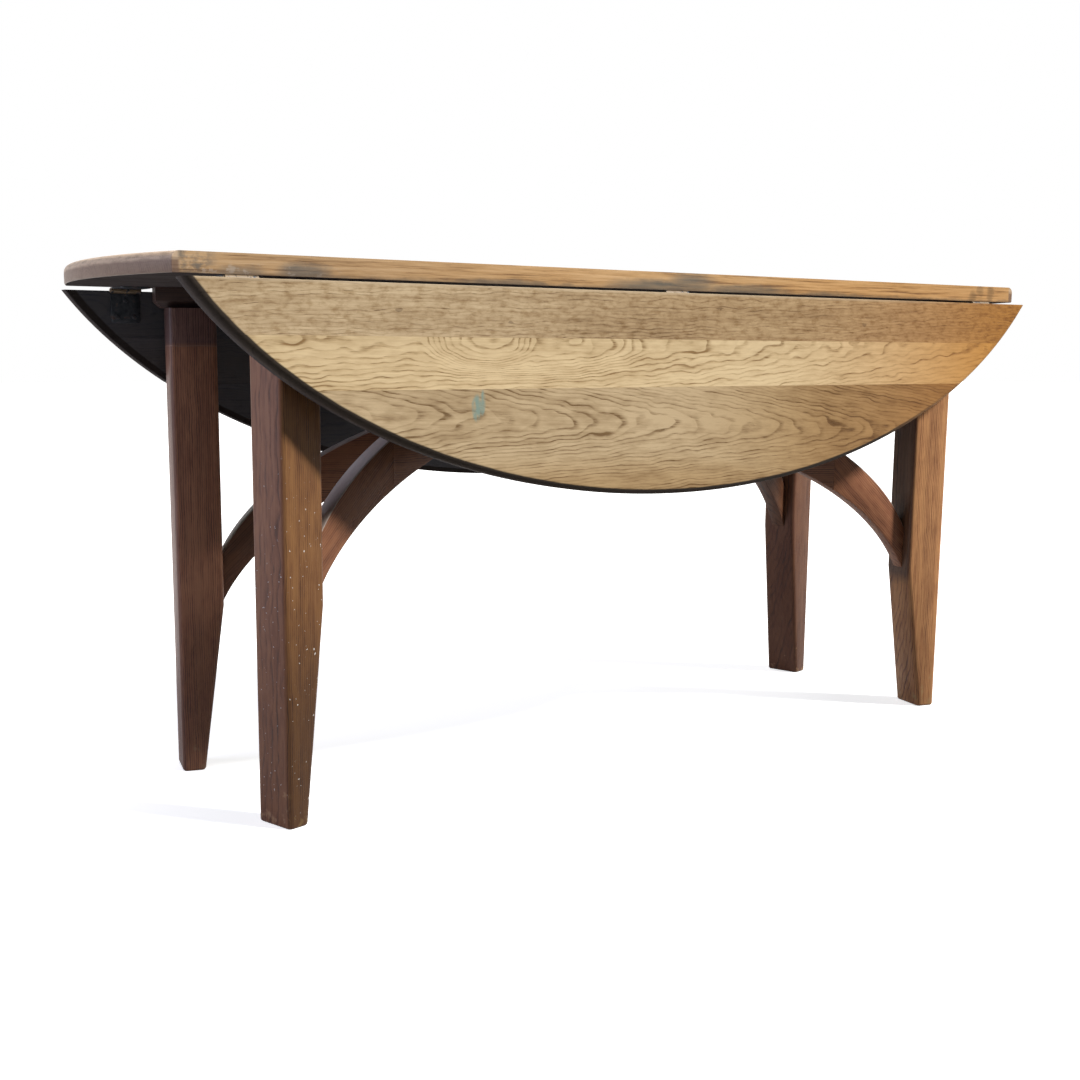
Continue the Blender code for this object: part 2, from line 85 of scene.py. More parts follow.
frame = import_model()
CAD_LOW, CAD_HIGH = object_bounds()
bpy.ops.object.select_all(action="DESELECT")
RECORD = frame["record"]
BODY_OF = {node: body for body, nodes in RECORD["behaviour"]["bodies"].items() for node in nodes}
SLOT_OF = {row["node"]: row["material_slot"] for row in RECORD["subparts"]}
print("solids:", len(frame["nodes"]), "box:", [round(side, 4) for side in CAD_HIGH - CAD_LOW])

# %% [markdown]
# ## Measuring what is there
# Every size below is read from the loaded solids, so a piece lands where its solid is. The oval is
# measured as it lies when the leaves are raised: what hangs below the hinge pin then reaches out from it.

# %% Measure the top, the hinges and the leaves
PIVOTS = {joint["child"]: Vector(joint["pos_m"]) for joint in frame["joints"]}
PIN_Y, PIN_Z = PIVOTS["back_leaf"].yz
LEAF_TOP_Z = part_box("back_leaf_inner_board")[1].z
LEAF_SEAMS_Z = [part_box("back_leaf_" + place + "_board")[0].z for place in ("inner", "middle")]
LEAF_TIP_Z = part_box("back_leaf_outer_board")[0].z
LEAF_FACE_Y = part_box("back_leaf_outer_board")[1].y


def raised(z):
    """How far from the middle of the table a height on a hanging leaf lies once the leaf is raised."""
    return PIN_Y + PIN_Z - z


TOP_Z = CAD_HIGH.z
UNDERSIDE_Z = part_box("fixed_top_centre_board")[0].z
THICKNESS = TOP_Z - UNDERSIDE_Z
SEMI_WIDTH = raised(LEAF_TIP_Z)
LEAF_EDGE_Y = raised(LEAF_TOP_Z)
LEAF_SEAMS_Y = [raised(z) for z in LEAF_SEAMS_Z]
HALF_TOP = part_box("fixed_top_back_board")[1].y
TOP_SEAM_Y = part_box("fixed_top_back_board")[0].y
HINGE_LINE_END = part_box("back_leaf_inner_board")[1].x
SEMI_LENGTH = HINGE_LINE_END / math.sqrt(1 - (LEAF_EDGE_Y / SEMI_WIDTH) ** 2)
TOP_END_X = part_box("fixed_top_centre_board")[1].x
TOP_CORNER_X = SEMI_LENGTH * math.sqrt(1 - (HALF_TOP / SEMI_WIDTH) ** 2)
END_BULGE = TOP_END_X - TOP_CORNER_X
END_RADIUS = (HALF_TOP ** 2 + END_BULGE ** 2) / (2 * END_BULGE)
END_CENTRE_X = TOP_END_X - END_RADIUS
KNUCKLE_RADIUS = 0.004
HINGE_X = sum(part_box("back_right_hinge_pin")[side].x for side in (0, 1)) / 2
print("oval:", round(2 * SEMI_LENGTH, 3), "by", round(2 * SEMI_WIDTH, 3))
print("thickness:", round(THICKNESS, 4), "hinges at:", round(HINGE_X, 4))

# %% [markdown]
# The leg frames stand at an angle in plan, so their pieces are measured along their own direction: the
# solid is turned back by the frame's azimuth first, and then the X axis runs along the frame. The arches
# are half ellipses, so their rise follows from two heights on the same curve.


# %% Measure the leg frames
def turned_box(node, azimuth):
    """The lowest and highest corner of a solid, measured along its own leg frame."""
    turn_back = Matrix.Rotation(-azimuth, 4, "Z")
    points = [turn_back @ vertex.co for vertex in frame["nodes"][node].data.vertices]
    low = Vector([min(point[axis] for point in points) for axis in range(3)])
    high = Vector([max(point[axis] for point in points) for axis in range(3)])
    return low, high


FEET = {row["name"]: Vector(row["pos_m"]) for row in RECORD["mounts"]}
SPLAY = math.atan2(FEET["back_right_foot"].y, FEET["back_right_foot"].x)
AZIMUTHS = {
    "front_left": math.pi + SPLAY,
    "front_right": -SPLAY,
    "back_left": math.pi - SPLAY,
    "back_right": SPLAY,
}
FRAME_OF = {"front_left": "upper", "back_right": "upper", "front_right": "lower", "back_left": "lower"}
LEG_LOW, LEG_HIGH = turned_box("back_right_leg", SPLAY)
BRACE_LOW, BRACE_HIGH = turned_box("back_right_brace", SPLAY)
ARCH_HIGH = turned_box("upper_centre_arch", SPLAY)[1]
RAIL_LOW, RAIL_HIGH = turned_box("upper_rail", SPLAY)
FOOT_DEPTH = 2 * (LEG_HIGH.x - FEET["back_right_foot"].xy.length)
LEG_INNER = LEG_LOW.x
ARCH_DEPTH = 0.073
ARCH_SPRING = 0.020
ARCH_HALF_SPAN = LEG_INNER + ARCH_SPRING
BRACE_FEET = {"upper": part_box("back_right_brace")[0].z, "lower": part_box("front_right_brace")[0].z}
UPPER_APEX = ARCH_HIGH.z - ARCH_DEPTH
ARCH_APEX = {name: UPPER_APEX + foot - BRACE_FEET["upper"] for name, foot in BRACE_FEET.items()}
PLAY = 0.0003
ARCH_RISE = ((UPPER_APEX - BRACE_FEET["upper"])
             / (1 - math.sqrt(1 - ((LEG_INNER - PLAY) / ARCH_HALF_SPAN) ** 2)))


def arch_height(u, apex):
    """Height of an arch's lower curve, half an ellipse, at a distance from the centre."""
    return apex - ARCH_RISE * (1 - math.sqrt(1 - (u / ARCH_HALF_SPAN) ** 2))


print("splay:", round(math.degrees(SPLAY), 2), "degrees")
print("leg reach:", round(LEG_HIGH.x, 4), "foot:", round(FOOT_DEPTH, 4), "arch rise:", round(ARCH_RISE, 4))

# %% [markdown]
# ## Modelling by hand, in code
# Every piece starts as a primitive and is shaped in edit mode with the same operators that a person
# clicks on. An operator acts on what is selected, so these helpers make one object the only selected
# one, and select its corners, edges or faces by where they lie.

# %% Select, saw and round
NEAR = 1e-4
QUARTER = math.pi / 2


def only(obj):
    """Make this the one selected and active object."""
    bpy.ops.object.select_all(action="DESELECT")
    obj.select_set(True)
    bpy.context.view_layer.objects.active = obj
    return obj


def shape(obj):
    """Open an object in edit mode with all of its mesh selected."""
    only(obj)
    bpy.ops.object.mode_set(mode="EDIT")
    bpy.ops.mesh.select_all(action="SELECT")


def close():
    """Turn all faces outward and leave edit mode."""
    bpy.ops.mesh.select_all(action="SELECT")
    bpy.ops.mesh.normals_make_consistent(inside=False)
    bpy.ops.object.mode_set(mode="OBJECT")


def pick(kind, test):
    """Select the vertices, edges or faces whose corner points pass a test."""
    bpy.ops.mesh.select_mode(type=kind)
    bpy.ops.mesh.select_all(action="DESELECT")
    mesh = bpy.context.edit_object.data
    bm = bmesh.from_edit_mesh(mesh)
    items = {"VERT": bm.verts, "EDGE": bm.edges, "FACE": bm.faces}[kind]
    for item in items:
        points = [item.co] if kind == "VERT" else [vertex.co for vertex in item.verts]
        if test(points):
            item.select_set(True)
    bm.select_flush_mode()
    bmesh.update_edit_mesh(mesh)


def level(axis, value):
    """A test for pick: every corner lies at this value along an axis."""
    return lambda points: all(abs(point[axis] - value) < NEAR for point in points)


def saw(point, normal):
    """Cut the open mesh with a plane, close the cut, and drop the side that the normal points to."""
    bpy.ops.mesh.select_all(action="SELECT")
    bpy.ops.mesh.bisect(plane_co=point, plane_no=normal, use_fill=True, clear_outer=True)


def round_edges(test, radius, steps):
    """Round the edges that pass a test, or with one step chamfer them."""
    pick("EDGE", test)
    bpy.ops.mesh.bevel(offset=radius, segments=steps, profile=0.5, affect="EDGES")


print("edit-mode helpers ready")

# %% [markdown]
# A piece that is made in one place and needed in another is copied with its own mesh and moved there. The
# move is then put into the mesh, so that every finished piece has its origin at the table's origin. That
# is what the finishes need, because they read the place of a point from the object's own coordinates.


# %% Blocks, pegs, copies and joints
def settle(obj):
    """Put an object's place, turn and size into its mesh."""
    only(obj)
    bpy.ops.object.transform_apply(location=True, rotation=True, scale=True)
    return obj


def discard(*objects):
    """Remove tools and patterns that have done their work."""
    for obj in objects:
        bpy.data.objects.remove(obj, do_unlink=True)


def copy_of(obj, name):
    """A copy with its own mesh."""
    only(obj)
    bpy.ops.object.duplicate(linked=False)
    twin = bpy.context.object
    twin.name = name
    return twin


def turn(obj, angle, axis, point=Vector((0, 0, 0))):
    """Turn an object about a point."""
    about = Matrix.Translation(point) @ Matrix.Rotation(angle, 4, axis) @ Matrix.Translation(-point)
    obj.matrix_world = about @ obj.matrix_world
    return settle(obj)


def block(name, low, high):
    """A cube primitive set to two corners."""
    low, high = Vector(low), Vector(high)
    bpy.ops.mesh.primitive_cube_add(size=1.0, location=(low + high) / 2, scale=high - low)
    bpy.context.object.name = name
    return settle(bpy.context.object)


def peg(name, radius, start, end, sides):
    """A cylinder primitive between two points on a line along X or Z."""
    start, end = Vector(start), Vector(end)
    along = (end - start).to_track_quat("Z", "Y").to_euler()
    bpy.ops.mesh.primitive_cylinder_add(vertices=sides, radius=radius, depth=(end - start).length,
                                        location=(start + end) / 2, rotation=along)
    bpy.context.object.name = name
    return settle(bpy.context.object)


def join(obj, tool, operation):
    """Cut one object with another, or join the two, and remove the tool."""
    only(obj)
    modifier = obj.modifiers.new("joint", "BOOLEAN")
    modifier.operation = operation
    modifier.object = tool
    modifier.solver = "EXACT"
    bpy.ops.object.modifier_apply(modifier=modifier.name)
    discard(tool)
    return obj


print("helpers for primitives ready")

# %% [markdown]
# A finished piece stands for a solid: it takes over the solid's body, so that it moves with it. How far
# its corners lie from those of the solid is printed, as a check on the modelling.

# %% Finished pieces
SMOOTH_BELOW = math.radians(30)


def dress(obj, material):
    """Shade an object smooth except at its sharp edges, and give it one finish."""
    only(obj)
    bpy.ops.object.shade_smooth_by_angle(angle=SMOOTH_BELOW)
    obj.data.materials.clear()
    obj.data.materials.append(material)


def belong(obj, node):
    """Let a piece move with the body of a solid."""
    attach(obj, BODY_OF[node])


def stand_for(obj, node, material):
    """Let a finished piece stand for its solid."""
    dress(obj, material)
    belong(obj, node)
    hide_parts(node)
    low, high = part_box(node)
    corners = [Vector(corner) for corner in obj.bound_box]
    own_low = Vector([min(corner[axis] for corner in corners) for axis in range(3)])
    own_high = Vector([max(corner[axis] for corner in corners) for axis in range(3)])
    stray = max((own_low - low).length, (own_high - high).length)
    print(obj.name, "lies within", round(stray * 1000, 2), "mm of its solid")


print("helpers for finished pieces ready")

# %% [markdown]
# ## Mixing finishes
# A finish is a small graph of shader nodes. The graph gets tall quickly, so this helper adds the nodes
# that are used most: arithmetic, soft steps, noise, and mixing of colours. A value given to it is either
# a plain number or colour, or the output of another node.


# %% Helper for node graphs
class Graph:
    """Short ways to add shader nodes to one node tree."""

    def __init__(self, tree):
        self.tree = tree

    def feed(self, socket, value):
        """Link an output to a socket, or set the socket to a number or a colour."""
        if isinstance(value, bpy.types.NodeSocket):
            self.tree.links.new(value, socket)
        elif socket.type == "RGBA":
            socket.default_value = (*value[:3], 1.0)
        else:
            socket.default_value = value

    def add(self, kind, feeds, **settings):
        """Add a node, set it up and feed its sockets."""
        node = self.tree.nodes.new(kind)
        for setting, value in settings.items():
            setattr(node, setting, value)
        for socket, value in feeds.items():
            self.feed(node.inputs[socket], value)
        return node

    def math(self, operation, first, second=0.0):
        return self.add("ShaderNodeMath", {0: first, 1: second}, operation=operation).outputs[0]

    def fold(self, operation, values):
        """One operation over many values, which makes a chain of nodes."""
        result = values[0]
        for value in values[1:]:
            result = self.math(operation, result, value)
        return result

    def total(self, *values):
        return self.fold("ADD", values)

    def times(self, *values):
        return self.fold("MULTIPLY", values)

    def either(self, *masks):
        """The strongest of several masks."""
        return self.fold("MAXIMUM", masks)

    def less(self, value, amount):
        return self.math("SUBTRACT", value, amount)

    def size(self, value):
        return self.math("ABSOLUTE", value)

    def reach(self, first, second):
        """The distance that two offsets at right angles make."""
        return self.math("SQRT", self.total(self.times(first, first), self.times(second, second)))

    def step(self, value, low, high):
        """A soft step from 0 at low to 1 at high, which may also be the lower number."""
        node = self.add("ShaderNodeMapRange", {"Value": value, "From Min": low, "From Max": high},
                        interpolation_type="SMOOTHSTEP")
        return node.outputs["Result"]

    def band(self, value, low, high, soft):
        """A mask that is 1 between two values and fades out over a soft border."""
        return self.times(self.step(value, low - soft, low + soft),
                          self.step(value, high + soft, high - soft))

    def split(self, vector):
        """The X, Y and Z of a point."""
        return self.add("ShaderNodeSeparateXYZ", {"Vector": vector}).outputs

    def vector(self, x, y, z):
        return self.add("ShaderNodeCombineXYZ", {"X": x, "Y": y, "Z": z}).outputs["Vector"]

    def vector_math(self, operation, first, second):
        return self.add("ShaderNodeVectorMath", {0: first, 1: second}, operation=operation).outputs

    def along(self, vector, direction, start=(0, 0, 0)):
        """The distance of a point from a start, measured along a direction."""
        shifted = self.vector_math("SUBTRACT", vector, start)["Vector"]
        return self.vector_math("DOT_PRODUCT", shifted, tuple(direction))["Value"]

    def noise(self, vector, waves, seed=0.0, detail=2.0, roughness=0.5):
        """Noise between 0 and 1, with so many waves in a metre along each axis."""
        stretched = self.vector_math("MULTIPLY", vector, waves)["Vector"]
        feeds = {"Vector": stretched, "W": seed, "Scale": 1.0, "Detail": detail, "Roughness": roughness}
        return self.add("ShaderNodeTexNoise", feeds, noise_dimensions="4D").outputs["Fac"]

    def sway(self, vector, waves, seed=0.0, detail=2.0, roughness=0.5):
        """Noise that swings about zero, by a half to each side."""
        return self.less(self.noise(vector, waves, seed, detail, roughness), 0.5)

    def mix(self, factor, first, second, blend="MIX"):
        node = self.tree.nodes.new("ShaderNodeMix")
        node.data_type = "RGBA"
        node.blend_type = blend
        self.feed(node.inputs[0], factor)
        self.feed(node.inputs[6], first)
        self.feed(node.inputs[7], second)
        return node.outputs[2]

    def tint(self, factor, colour, glass):
        """A colour seen through a coloured glass."""
        return self.mix(factor, colour, glass, "MULTIPLY")

    def ramp(self, value, stops):
        """A colour picked by a value from a list of (place, colour) stops."""
        node = self.add("ShaderNodeValToRGB", {"Fac": value})
        elements = node.color_ramp.elements
        while len(elements) < len(stops):
            elements.new(0.5)
        for element, (place, colour) in zip(elements, stops):
            element.position = place
            element.color = (*colour, 1.0)
        return node.outputs["Color"]

    def spot(self, across, down, centre, size, hard=0.35):
        """A soft oval mask round a centre."""
        first = self.math("DIVIDE", self.less(across, centre[0]), size[0])
        second = self.math("DIVIDE", self.less(down, centre[1]), size[1])
        return self.step(self.total(self.times(first, first), self.times(second, second)), 1.0, hard)


def new_group(name, inputs, outputs):
    """An empty shader node group with its sockets, and the graph inside it."""
    tree = bpy.data.node_groups.new(name, "ShaderNodeTree")
    for direction, sockets in (("INPUT", inputs), ("OUTPUT", outputs)):
        for socket, kind in sockets.items():
            tree.interface.new_socket(socket, in_out=direction, socket_type="NodeSocket" + kind)
    given = tree.nodes.new("NodeGroupInput").outputs
    result = tree.nodes.new("NodeGroupOutput").inputs
    return tree, Graph(tree), given, result


print("graph helper ready")

# %% [markdown]
# ## Oak
# Oak is ring-porous. Each year starts with a band of wide vessels, and on a sawn face these bands show as
# soft dark lines of small dashes. A picture of wood could be laid over the boards, but it would show the
# same tree everywhere and stop at the edges. A figure that is grown in space runs through the whole board.
#
# The year rings are tubes round the heart of the tree, a little conical and never quite straight. So the
# figure is the distance from the heart, cut into rings: where the heart lies close under a face the rings
# leave it as flames, and where it lies far to one side they run as straight lines. A knot pushes the
# rings apart.
#
# The group takes a point in the board's own directions: X along the grain, Y across the face, and Z out
# of the face. A tree grows mostly along its grain, so every noise has few waves along X and many across.

# %% The oak figure
# Waves in a metre along the grain, across it and out of the face.
SLOW_BENDS = (1.6, 6.5, 6.5)
QUICK_BENDS = (24.0, 44.0, 44.0)
VESSEL_GAPS = (14.0, 110.0, 110.0)
FIBRES = (9.0, 330.0, 330.0)
PORES = (60.0, 1300.0, 1300.0)
MOTTLE = (26.0, 85.0, 85.0)
CLOUDS = (2.4, 9.0, 9.0)
figure, graph, given, result = new_group(
    "oak figure",
    {"Vector": "Vector", "Seed": "Float", "Ring Width": "Float", "Heart Depth": "Float",
     "Heart Offset": "Float", "Taper": "Float", "Wander": "Float", "Knot": "Float"},
    {"Early Wood": "Float", "Fibre": "Float", "Pores": "Float", "Mottle": "Float", "Blotch": "Float"})
point, seed = given["Vector"], given["Seed"]
axes = graph.split(point)
sideways = graph.less(axes["Y"], given["Heart Offset"])
depth = graph.total(axes["Z"], given["Heart Depth"])
radius = graph.reach(sideways, depth)
bends = graph.total(graph.sway(point, SLOW_BENDS, seed, 2.0),
                    graph.times(graph.sway(point, QUICK_BENDS, seed, 1.0), 0.5))
cone = graph.times(axes["X"], given["Taper"])
wander = graph.times(bends, given["Wander"])
years = graph.math("DIVIDE", graph.total(radius, cone, wander, given["Knot"]), given["Ring Width"])
part_of_year = graph.math("FRACT", years)
this_year = graph.add("ShaderNodeTexWhiteNoise", {"W": graph.total(graph.math("FLOOR", years), seed)},
                      noise_dimensions="1D").outputs["Value"]
vessels = graph.times(graph.step(part_of_year, 0.0, 0.12), graph.step(part_of_year, 0.56, 0.14))
broken = graph.step(graph.noise(point, VESSEL_GAPS, graph.total(seed, 3.0), 3.0), 0.3, 0.66)
early = graph.times(vessels, graph.total(graph.times(this_year, 0.65), 0.35),
                    graph.total(graph.times(broken, 0.7), 0.3))
dashes = graph.step(graph.noise(point, PORES, seed, 1.0), 0.52, 0.66)
over_years = {"W": graph.total(graph.times(years, 0.33), seed), "Scale": 1.0, "Detail": 1.0}
many_years = graph.add("ShaderNodeTexNoise", over_years, noise_dimensions="1D").outputs["Fac"]
cloud = graph.noise(point, CLOUDS, graph.total(seed, 7.0), 3.0)
graph.feed(result["Early Wood"], early)
graph.feed(result["Fibre"], graph.noise(point, FIBRES, seed, 4.0, 0.62))
graph.feed(result["Pores"], graph.times(dashes, graph.total(early, 0.12)))
graph.feed(result["Mottle"], graph.noise(point, MOTTLE, graph.total(seed, 5.0), 3.0, 0.6))
graph.feed(result["Blotch"], graph.total(cloud, graph.times(graph.less(many_years, 0.5), 0.6)))
print("oak figure:", len(figure.nodes), "nodes")

# %% [markdown]
# A board is cut from the tree in some direction, so each finish says where the heart of its board lay. The
# shade of a point is the sum of its early wood, fibres, pores and blotches, and a ramp of three tones
# turns the shade into a colour.

# %% A board of oak
WOOD_GLOSS = 0.2
NO_GLOSS = 0.0


def start_finish(name):
    """A new material, its graph, its shader and the point on the piece."""
    material = bpy.data.materials.new(name)
    material.use_nodes = True
    graph = Graph(material.node_tree)
    shader = material.node_tree.nodes["Principled BSDF"]
    point = graph.tree.nodes.new("ShaderNodeTexCoord").outputs["Object"]
    return material, graph, shader, point


def lay_on(graph, shader, colour, rough, gloss):
    """Give the shader a colour, a roughness and a gloss."""
    graph.feed(shader.inputs["Base Color"], colour)
    graph.feed(shader.inputs["Roughness"], rough)
    shader.inputs["Specular IOR Level"].default_value = gloss


def board_point(graph, point, origin, along, across):
    """The point in a board's own directions: along the grain, across the face and out of the face."""
    out = Vector(along).cross(Vector(across))
    return graph.vector(*(graph.along(point, axis, origin) for axis in (along, across, out)))


def grow_oak(graph, grain_point, seed, ring=0.0035, depth=0.04, offset=0.0, taper=0.05, wander=0.02,
             knot=0.0):
    """The oak figure on a board."""
    feeds = {"Vector": grain_point, "Seed": seed, "Ring Width": ring, "Heart Depth": depth,
             "Heart Offset": offset, "Taper": taper, "Wander": wander, "Knot": knot}
    return graph.add("ShaderNodeGroup", feeds, node_tree=figure).outputs


def oak_colour(graph, oak, tones, lines=1.0, mottle=1.0):
    """Early wood, fibres, pores and blotches mixed into a colour between a pale and a dark tone."""
    shade = graph.total(
        0.18,
        graph.times(oak["Early Wood"], lines),
        graph.less(oak["Fibre"], 0.5),
        graph.times(oak["Pores"], 0.5),
        graph.times(graph.less(oak["Mottle"], 0.5), 1.3 * mottle),
        graph.less(oak["Blotch"], 0.5))
    return graph.ramp(shade, [(0.0, tones[0]), (0.5, tones[1]), (1.0, tones[2])])


def relief(graph, shader, height, strength, distance=0.0005):
    """Small bumps and hollows in a surface."""
    bump = graph.add("ShaderNodeBump", {"Height": height, "Strength": strength, "Distance": distance})
    graph.feed(shader.inputs["Normal"], bump.outputs["Normal"])


def oak_relief(graph, shader, oak, strength):
    """Open pores and raised fibres."""
    height = graph.total(graph.times(oak["Pores"], -1.0), graph.times(oak["Fibre"], 0.6),
                         graph.times(oak["Early Wood"], -0.15))
    relief(graph, shader, height, strength)


print("oak boards ready")

# %% [markdown]
# ## The finish of the leaves
# The show faces were once varnished and are now pale and worn. Each leaf is three boards from different
# planks, so each board has its own figure and tone. On the front leaf the right-hand end is tinted amber.
# The rim of the leaves is painted near black, partly old stain and partly painted shade, except at that
# end, and the inner face is painted a bluish near black as painted shade.

# %% A board of a leaf
PALE_LEAF = ((0.82, 0.64, 0.385), (0.63, 0.465, 0.26), (0.30, 0.18, 0.075))
HONEY_LEAF = ((0.66, 0.51, 0.32), (0.48, 0.345, 0.20), (0.20, 0.125, 0.06))
BISCUIT_LEAF = ((0.64, 0.49, 0.30), (0.46, 0.332, 0.19), (0.20, 0.12, 0.052))
AMBER = (0.72, 0.42, 0.13)
AMBER_NONE_X, AMBER_FULL_X = 0.12, 0.80
BACK_LEAF_AMBER = 0.3
RIM_STAIN_AND_SHADE = (0.032, 0.025, 0.022)
RIM_WIDTH, RIM_FULL_WIDTH = 0.0085, 0.0065
RIM_NONE_X, RIM_FULL_X = 0.62, 0.40
# Painted shade of the inner face: a bluish near black.
INNER_FACE_SHADE = (0.043, 0.054, 0.074)
FIGURE_CENTRE_Z = {
    "inner": LEAF_TOP_Z,
    "middle": LEAF_SEAMS_Z[0] - 0.034,
    "outer": LEAF_SEAMS_Z[1] - 0.055,
}


def leaf_oak(side, place, seed, tones, figure_of, lines=1.0, mottle=1.0, slant=0.0, marks=None):
    """One board of a hanging leaf, with its figure, the dark rim of stain and painted shade, the painted
    shade of its inner face and what age has done to it.
    """
    material, graph, shader, point = start_finish(side + "_leaf_" + place + "_oak")
    up = 1 if side == "front" else -1
    face_y = -up * LEAF_FACE_Y
    along = (math.cos(slant), 0, -up * math.sin(slant))
    across = (math.sin(slant), 0, up * math.cos(slant))
    grain_point = board_point(graph, point, (0, face_y, FIGURE_CENTRE_Z[place]), along, across)
    oak = figure_of(graph, grain_point, seed)
    axes = graph.split(point)
    # The front leaf is tinted amber towards its right-hand end, the back leaf a little all over.
    amber = graph.step(axes["X"], AMBER_NONE_X, AMBER_FULL_X) if side == "front" else BACK_LEAF_AMBER
    colour = graph.tint(amber, oak_colour(graph, oak, tones, lines, mottle), AMBER)
    drop = graph.less(LEAF_TOP_Z, axes["Z"])
    if marks:
        colour = marks(graph, colour, axes["X"], drop)

    # Painted shade: the inner face is darkened to a bluish near black.
    inside = graph.size(graph.less(axes["Y"], face_y))
    shaded_inner_face = graph.step(inside, THICKNESS * 0.45, THICKNESS * 0.8)
    colour = graph.mix(graph.times(shaded_inner_face, 0.93), colour, INNER_FACE_SHADE)
    oval = graph.reach(graph.math("DIVIDE", axes["X"], SEMI_LENGTH),
                       graph.math("DIVIDE", graph.total(drop, LEAF_EDGE_Y), SEMI_WIDTH))
    ragged = graph.times(graph.sway(point, (30, 30, 30), seed), 0.003)
    rim = graph.step(graph.total(oval, ragged),
                     1 - RIM_WIDTH / SEMI_WIDTH, 1 - RIM_FULL_WIDTH / SEMI_WIDTH)
    if side == "front":
        rim = graph.times(rim, graph.step(axes["X"], RIM_NONE_X, RIM_FULL_X))
    # Painted shade on the rim, over its old stain: the rim is darkened to near black.
    colour = graph.mix(graph.times(rim, 0.97), colour, RIM_STAIN_AND_SHADE)
    rough = graph.total(0.5, graph.times(oak["Fibre"], 0.16), graph.times(oak["Pores"], 0.15),
                        graph.times(rim, 0.3))
    lay_on(graph, shader, colour, rough, WOOD_GLOSS)
    oak_relief(graph, shader, oak, 0.5)
    return material


print("heights of the figures:", {place: round(z, 3) for place, z in FIGURE_CENTRE_Z.items()})

# %% [markdown]
# Three kinds of figure occur. A rift board was sawn far from the heart and has straight lines, a flamed
# board was sawn just beside it, and the middle board of the front leaf has a bull's eye, where the saw met
# a bump of the heart. The bump is a soft spot that is taken away from the distance to the heart.

# %% Rift, flames and bull's eye
RIFT_DEPTH = 0.09
RIFT_WANDER = 0.024
EYE_CENTRE, EYE_SIZE, EYE_PULL = (-0.362, 0.036), (0.095, 0.070), -0.023
TAIL_CENTRE, TAIL_SIZE, TAIL_PULL = (-0.26, 0.022), (0.20, 0.050), -0.020
FLARE_FROM_X, FLARE = -0.20, 0.065
# Width of the year rings, depth and offset of the heart, taper and wander, as grow_oak takes them.
EYE_FIGURE = (0.0052, 0.040, 0.036, 0.012, 0.026)


def flames(ring, depth, offset, taper, wander):
    """Tall flames: the heart lies close under the face."""
    values = (ring, depth, offset, taper, wander)
    return lambda graph, grain_point, seed: grow_oak(graph, grain_point, seed, *values)


def rift(ring, offset, taper):
    """Straight, narrow lines: grown like flames, but with the heart far to one side."""
    return flames(ring, RIFT_DEPTH, offset, taper, RIFT_WANDER)


def bulls_eye(graph, grain_point, seed):
    """Rings that hang from the upper seam, and flames to their right."""
    place = graph.split(grain_point)
    eye = graph.spot(place["X"], place["Y"], EYE_CENTRE, EYE_SIZE, 0.0)
    tail = graph.spot(place["X"], place["Y"], TAIL_CENTRE, TAIL_SIZE, 0.0)
    flaring = graph.either(graph.less(place["X"], FLARE_FROM_X), 0.0)
    knot = graph.total(graph.times(eye, EYE_PULL), graph.times(tail, TAIL_PULL),
                       graph.times(flaring, FLARE))
    return grow_oak(graph, grain_point, seed, *EYE_FIGURE, knot)


print("bull's eye at", EYE_CENTRE)

# %% [markdown]
# Age has left its own marks on the front leaf. The inner board has pin knots and nicks, is browner in the
# middle, and is worn pale at the hinges. The outer board is darker to the right and along the bottom, and
# has a small smear of old paint. Each mark is a soft oval whose outline a little noise makes ragged.

# %% Marks of age on the front leaf
TOAST = (0.76, 0.66, 0.52)
TEA = (0.86, 0.79, 0.70)
CLOUDED = (0.66, 0.59, 0.50)
KNOT_BROWN = (0.12, 0.07, 0.035)
WORN_ARRIS = (0.62, 0.50, 0.34)
OLD_PAINT = (0.26, 0.35, 0.30)
PIN_KNOTS = (
    # place along the leaf and below its upper edge, and half the length and height
    ((-0.487, 0.034), (0.007, 0.003)),
    ((-0.315, 0.047), (0.005, 0.002)),
    ((0.06, 0.021), (0.009, 0.002)),
    ((0.37, 0.040), (0.006, 0.003)),
)
PAINT_STROKES = (
    ((-0.3695, 0.160), (0.0085, 0.021)),
    ((-0.3600, 0.153), (0.0055, 0.020)),
)


def pin_knots(graph, colour, x, drop):
    """Small dark knots and nicks, a browner middle, and a pale worn arris at the hinges."""
    face = graph.vector(x, 0.0, drop)
    ragged = graph.times(graph.sway(face, (160, 1, 220), 2.0), 0.007)
    for centre, size in PIN_KNOTS:
        mask = graph.spot(graph.total(x, ragged), graph.total(drop, ragged), centre, size)
        colour = graph.mix(graph.times(mask, 0.5), colour, KNOT_BROWN)
    browned = graph.times(graph.step(x, -0.45, 0.25), graph.step(x, 0.75, 0.35))
    colour = graph.tint(browned, colour, TEA)
    cloudy = graph.step(graph.noise(face, (60, 1, 130), 4.0, 5.0, 0.62), 0.42, 0.70)
    colour = graph.tint(cloudy, colour, CLOUDED)
    worn = graph.times(graph.step(drop, 0.0045, 0.001), graph.step(x, 0.75, 0.2))
    return graph.mix(graph.times(worn, 0.55), colour, WORN_ARRIS)


def paint_smear(graph, colour, x, drop):
    """Darker wood to the right and along the bottom, and a smear of grey-green paint."""
    toasted = graph.either(graph.step(x, -0.08, 0.32), graph.times(graph.step(drop, 0.215, 0.275), 0.8))
    colour = graph.tint(toasted, colour, TOAST)
    face = graph.vector(x, 0.0, drop)
    broken = graph.step(graph.noise(face, (170, 1, 45), 1.0, 3.0), 0.34, 0.56)
    bent_x = graph.total(x, graph.times(graph.sway(face, (60, 1, 60), 8.0), 0.006))
    strokes = [graph.spot(bent_x, drop, centre, size, 0.3) for centre, size in PAINT_STROKES]
    smear = graph.times(graph.either(*strokes), graph.total(broken, 0.3), 0.75)
    return graph.mix(smear, colour, OLD_PAINT)


print("pin knots:", len(PIN_KNOTS), "paint strokes:", len(PAINT_STROKES))

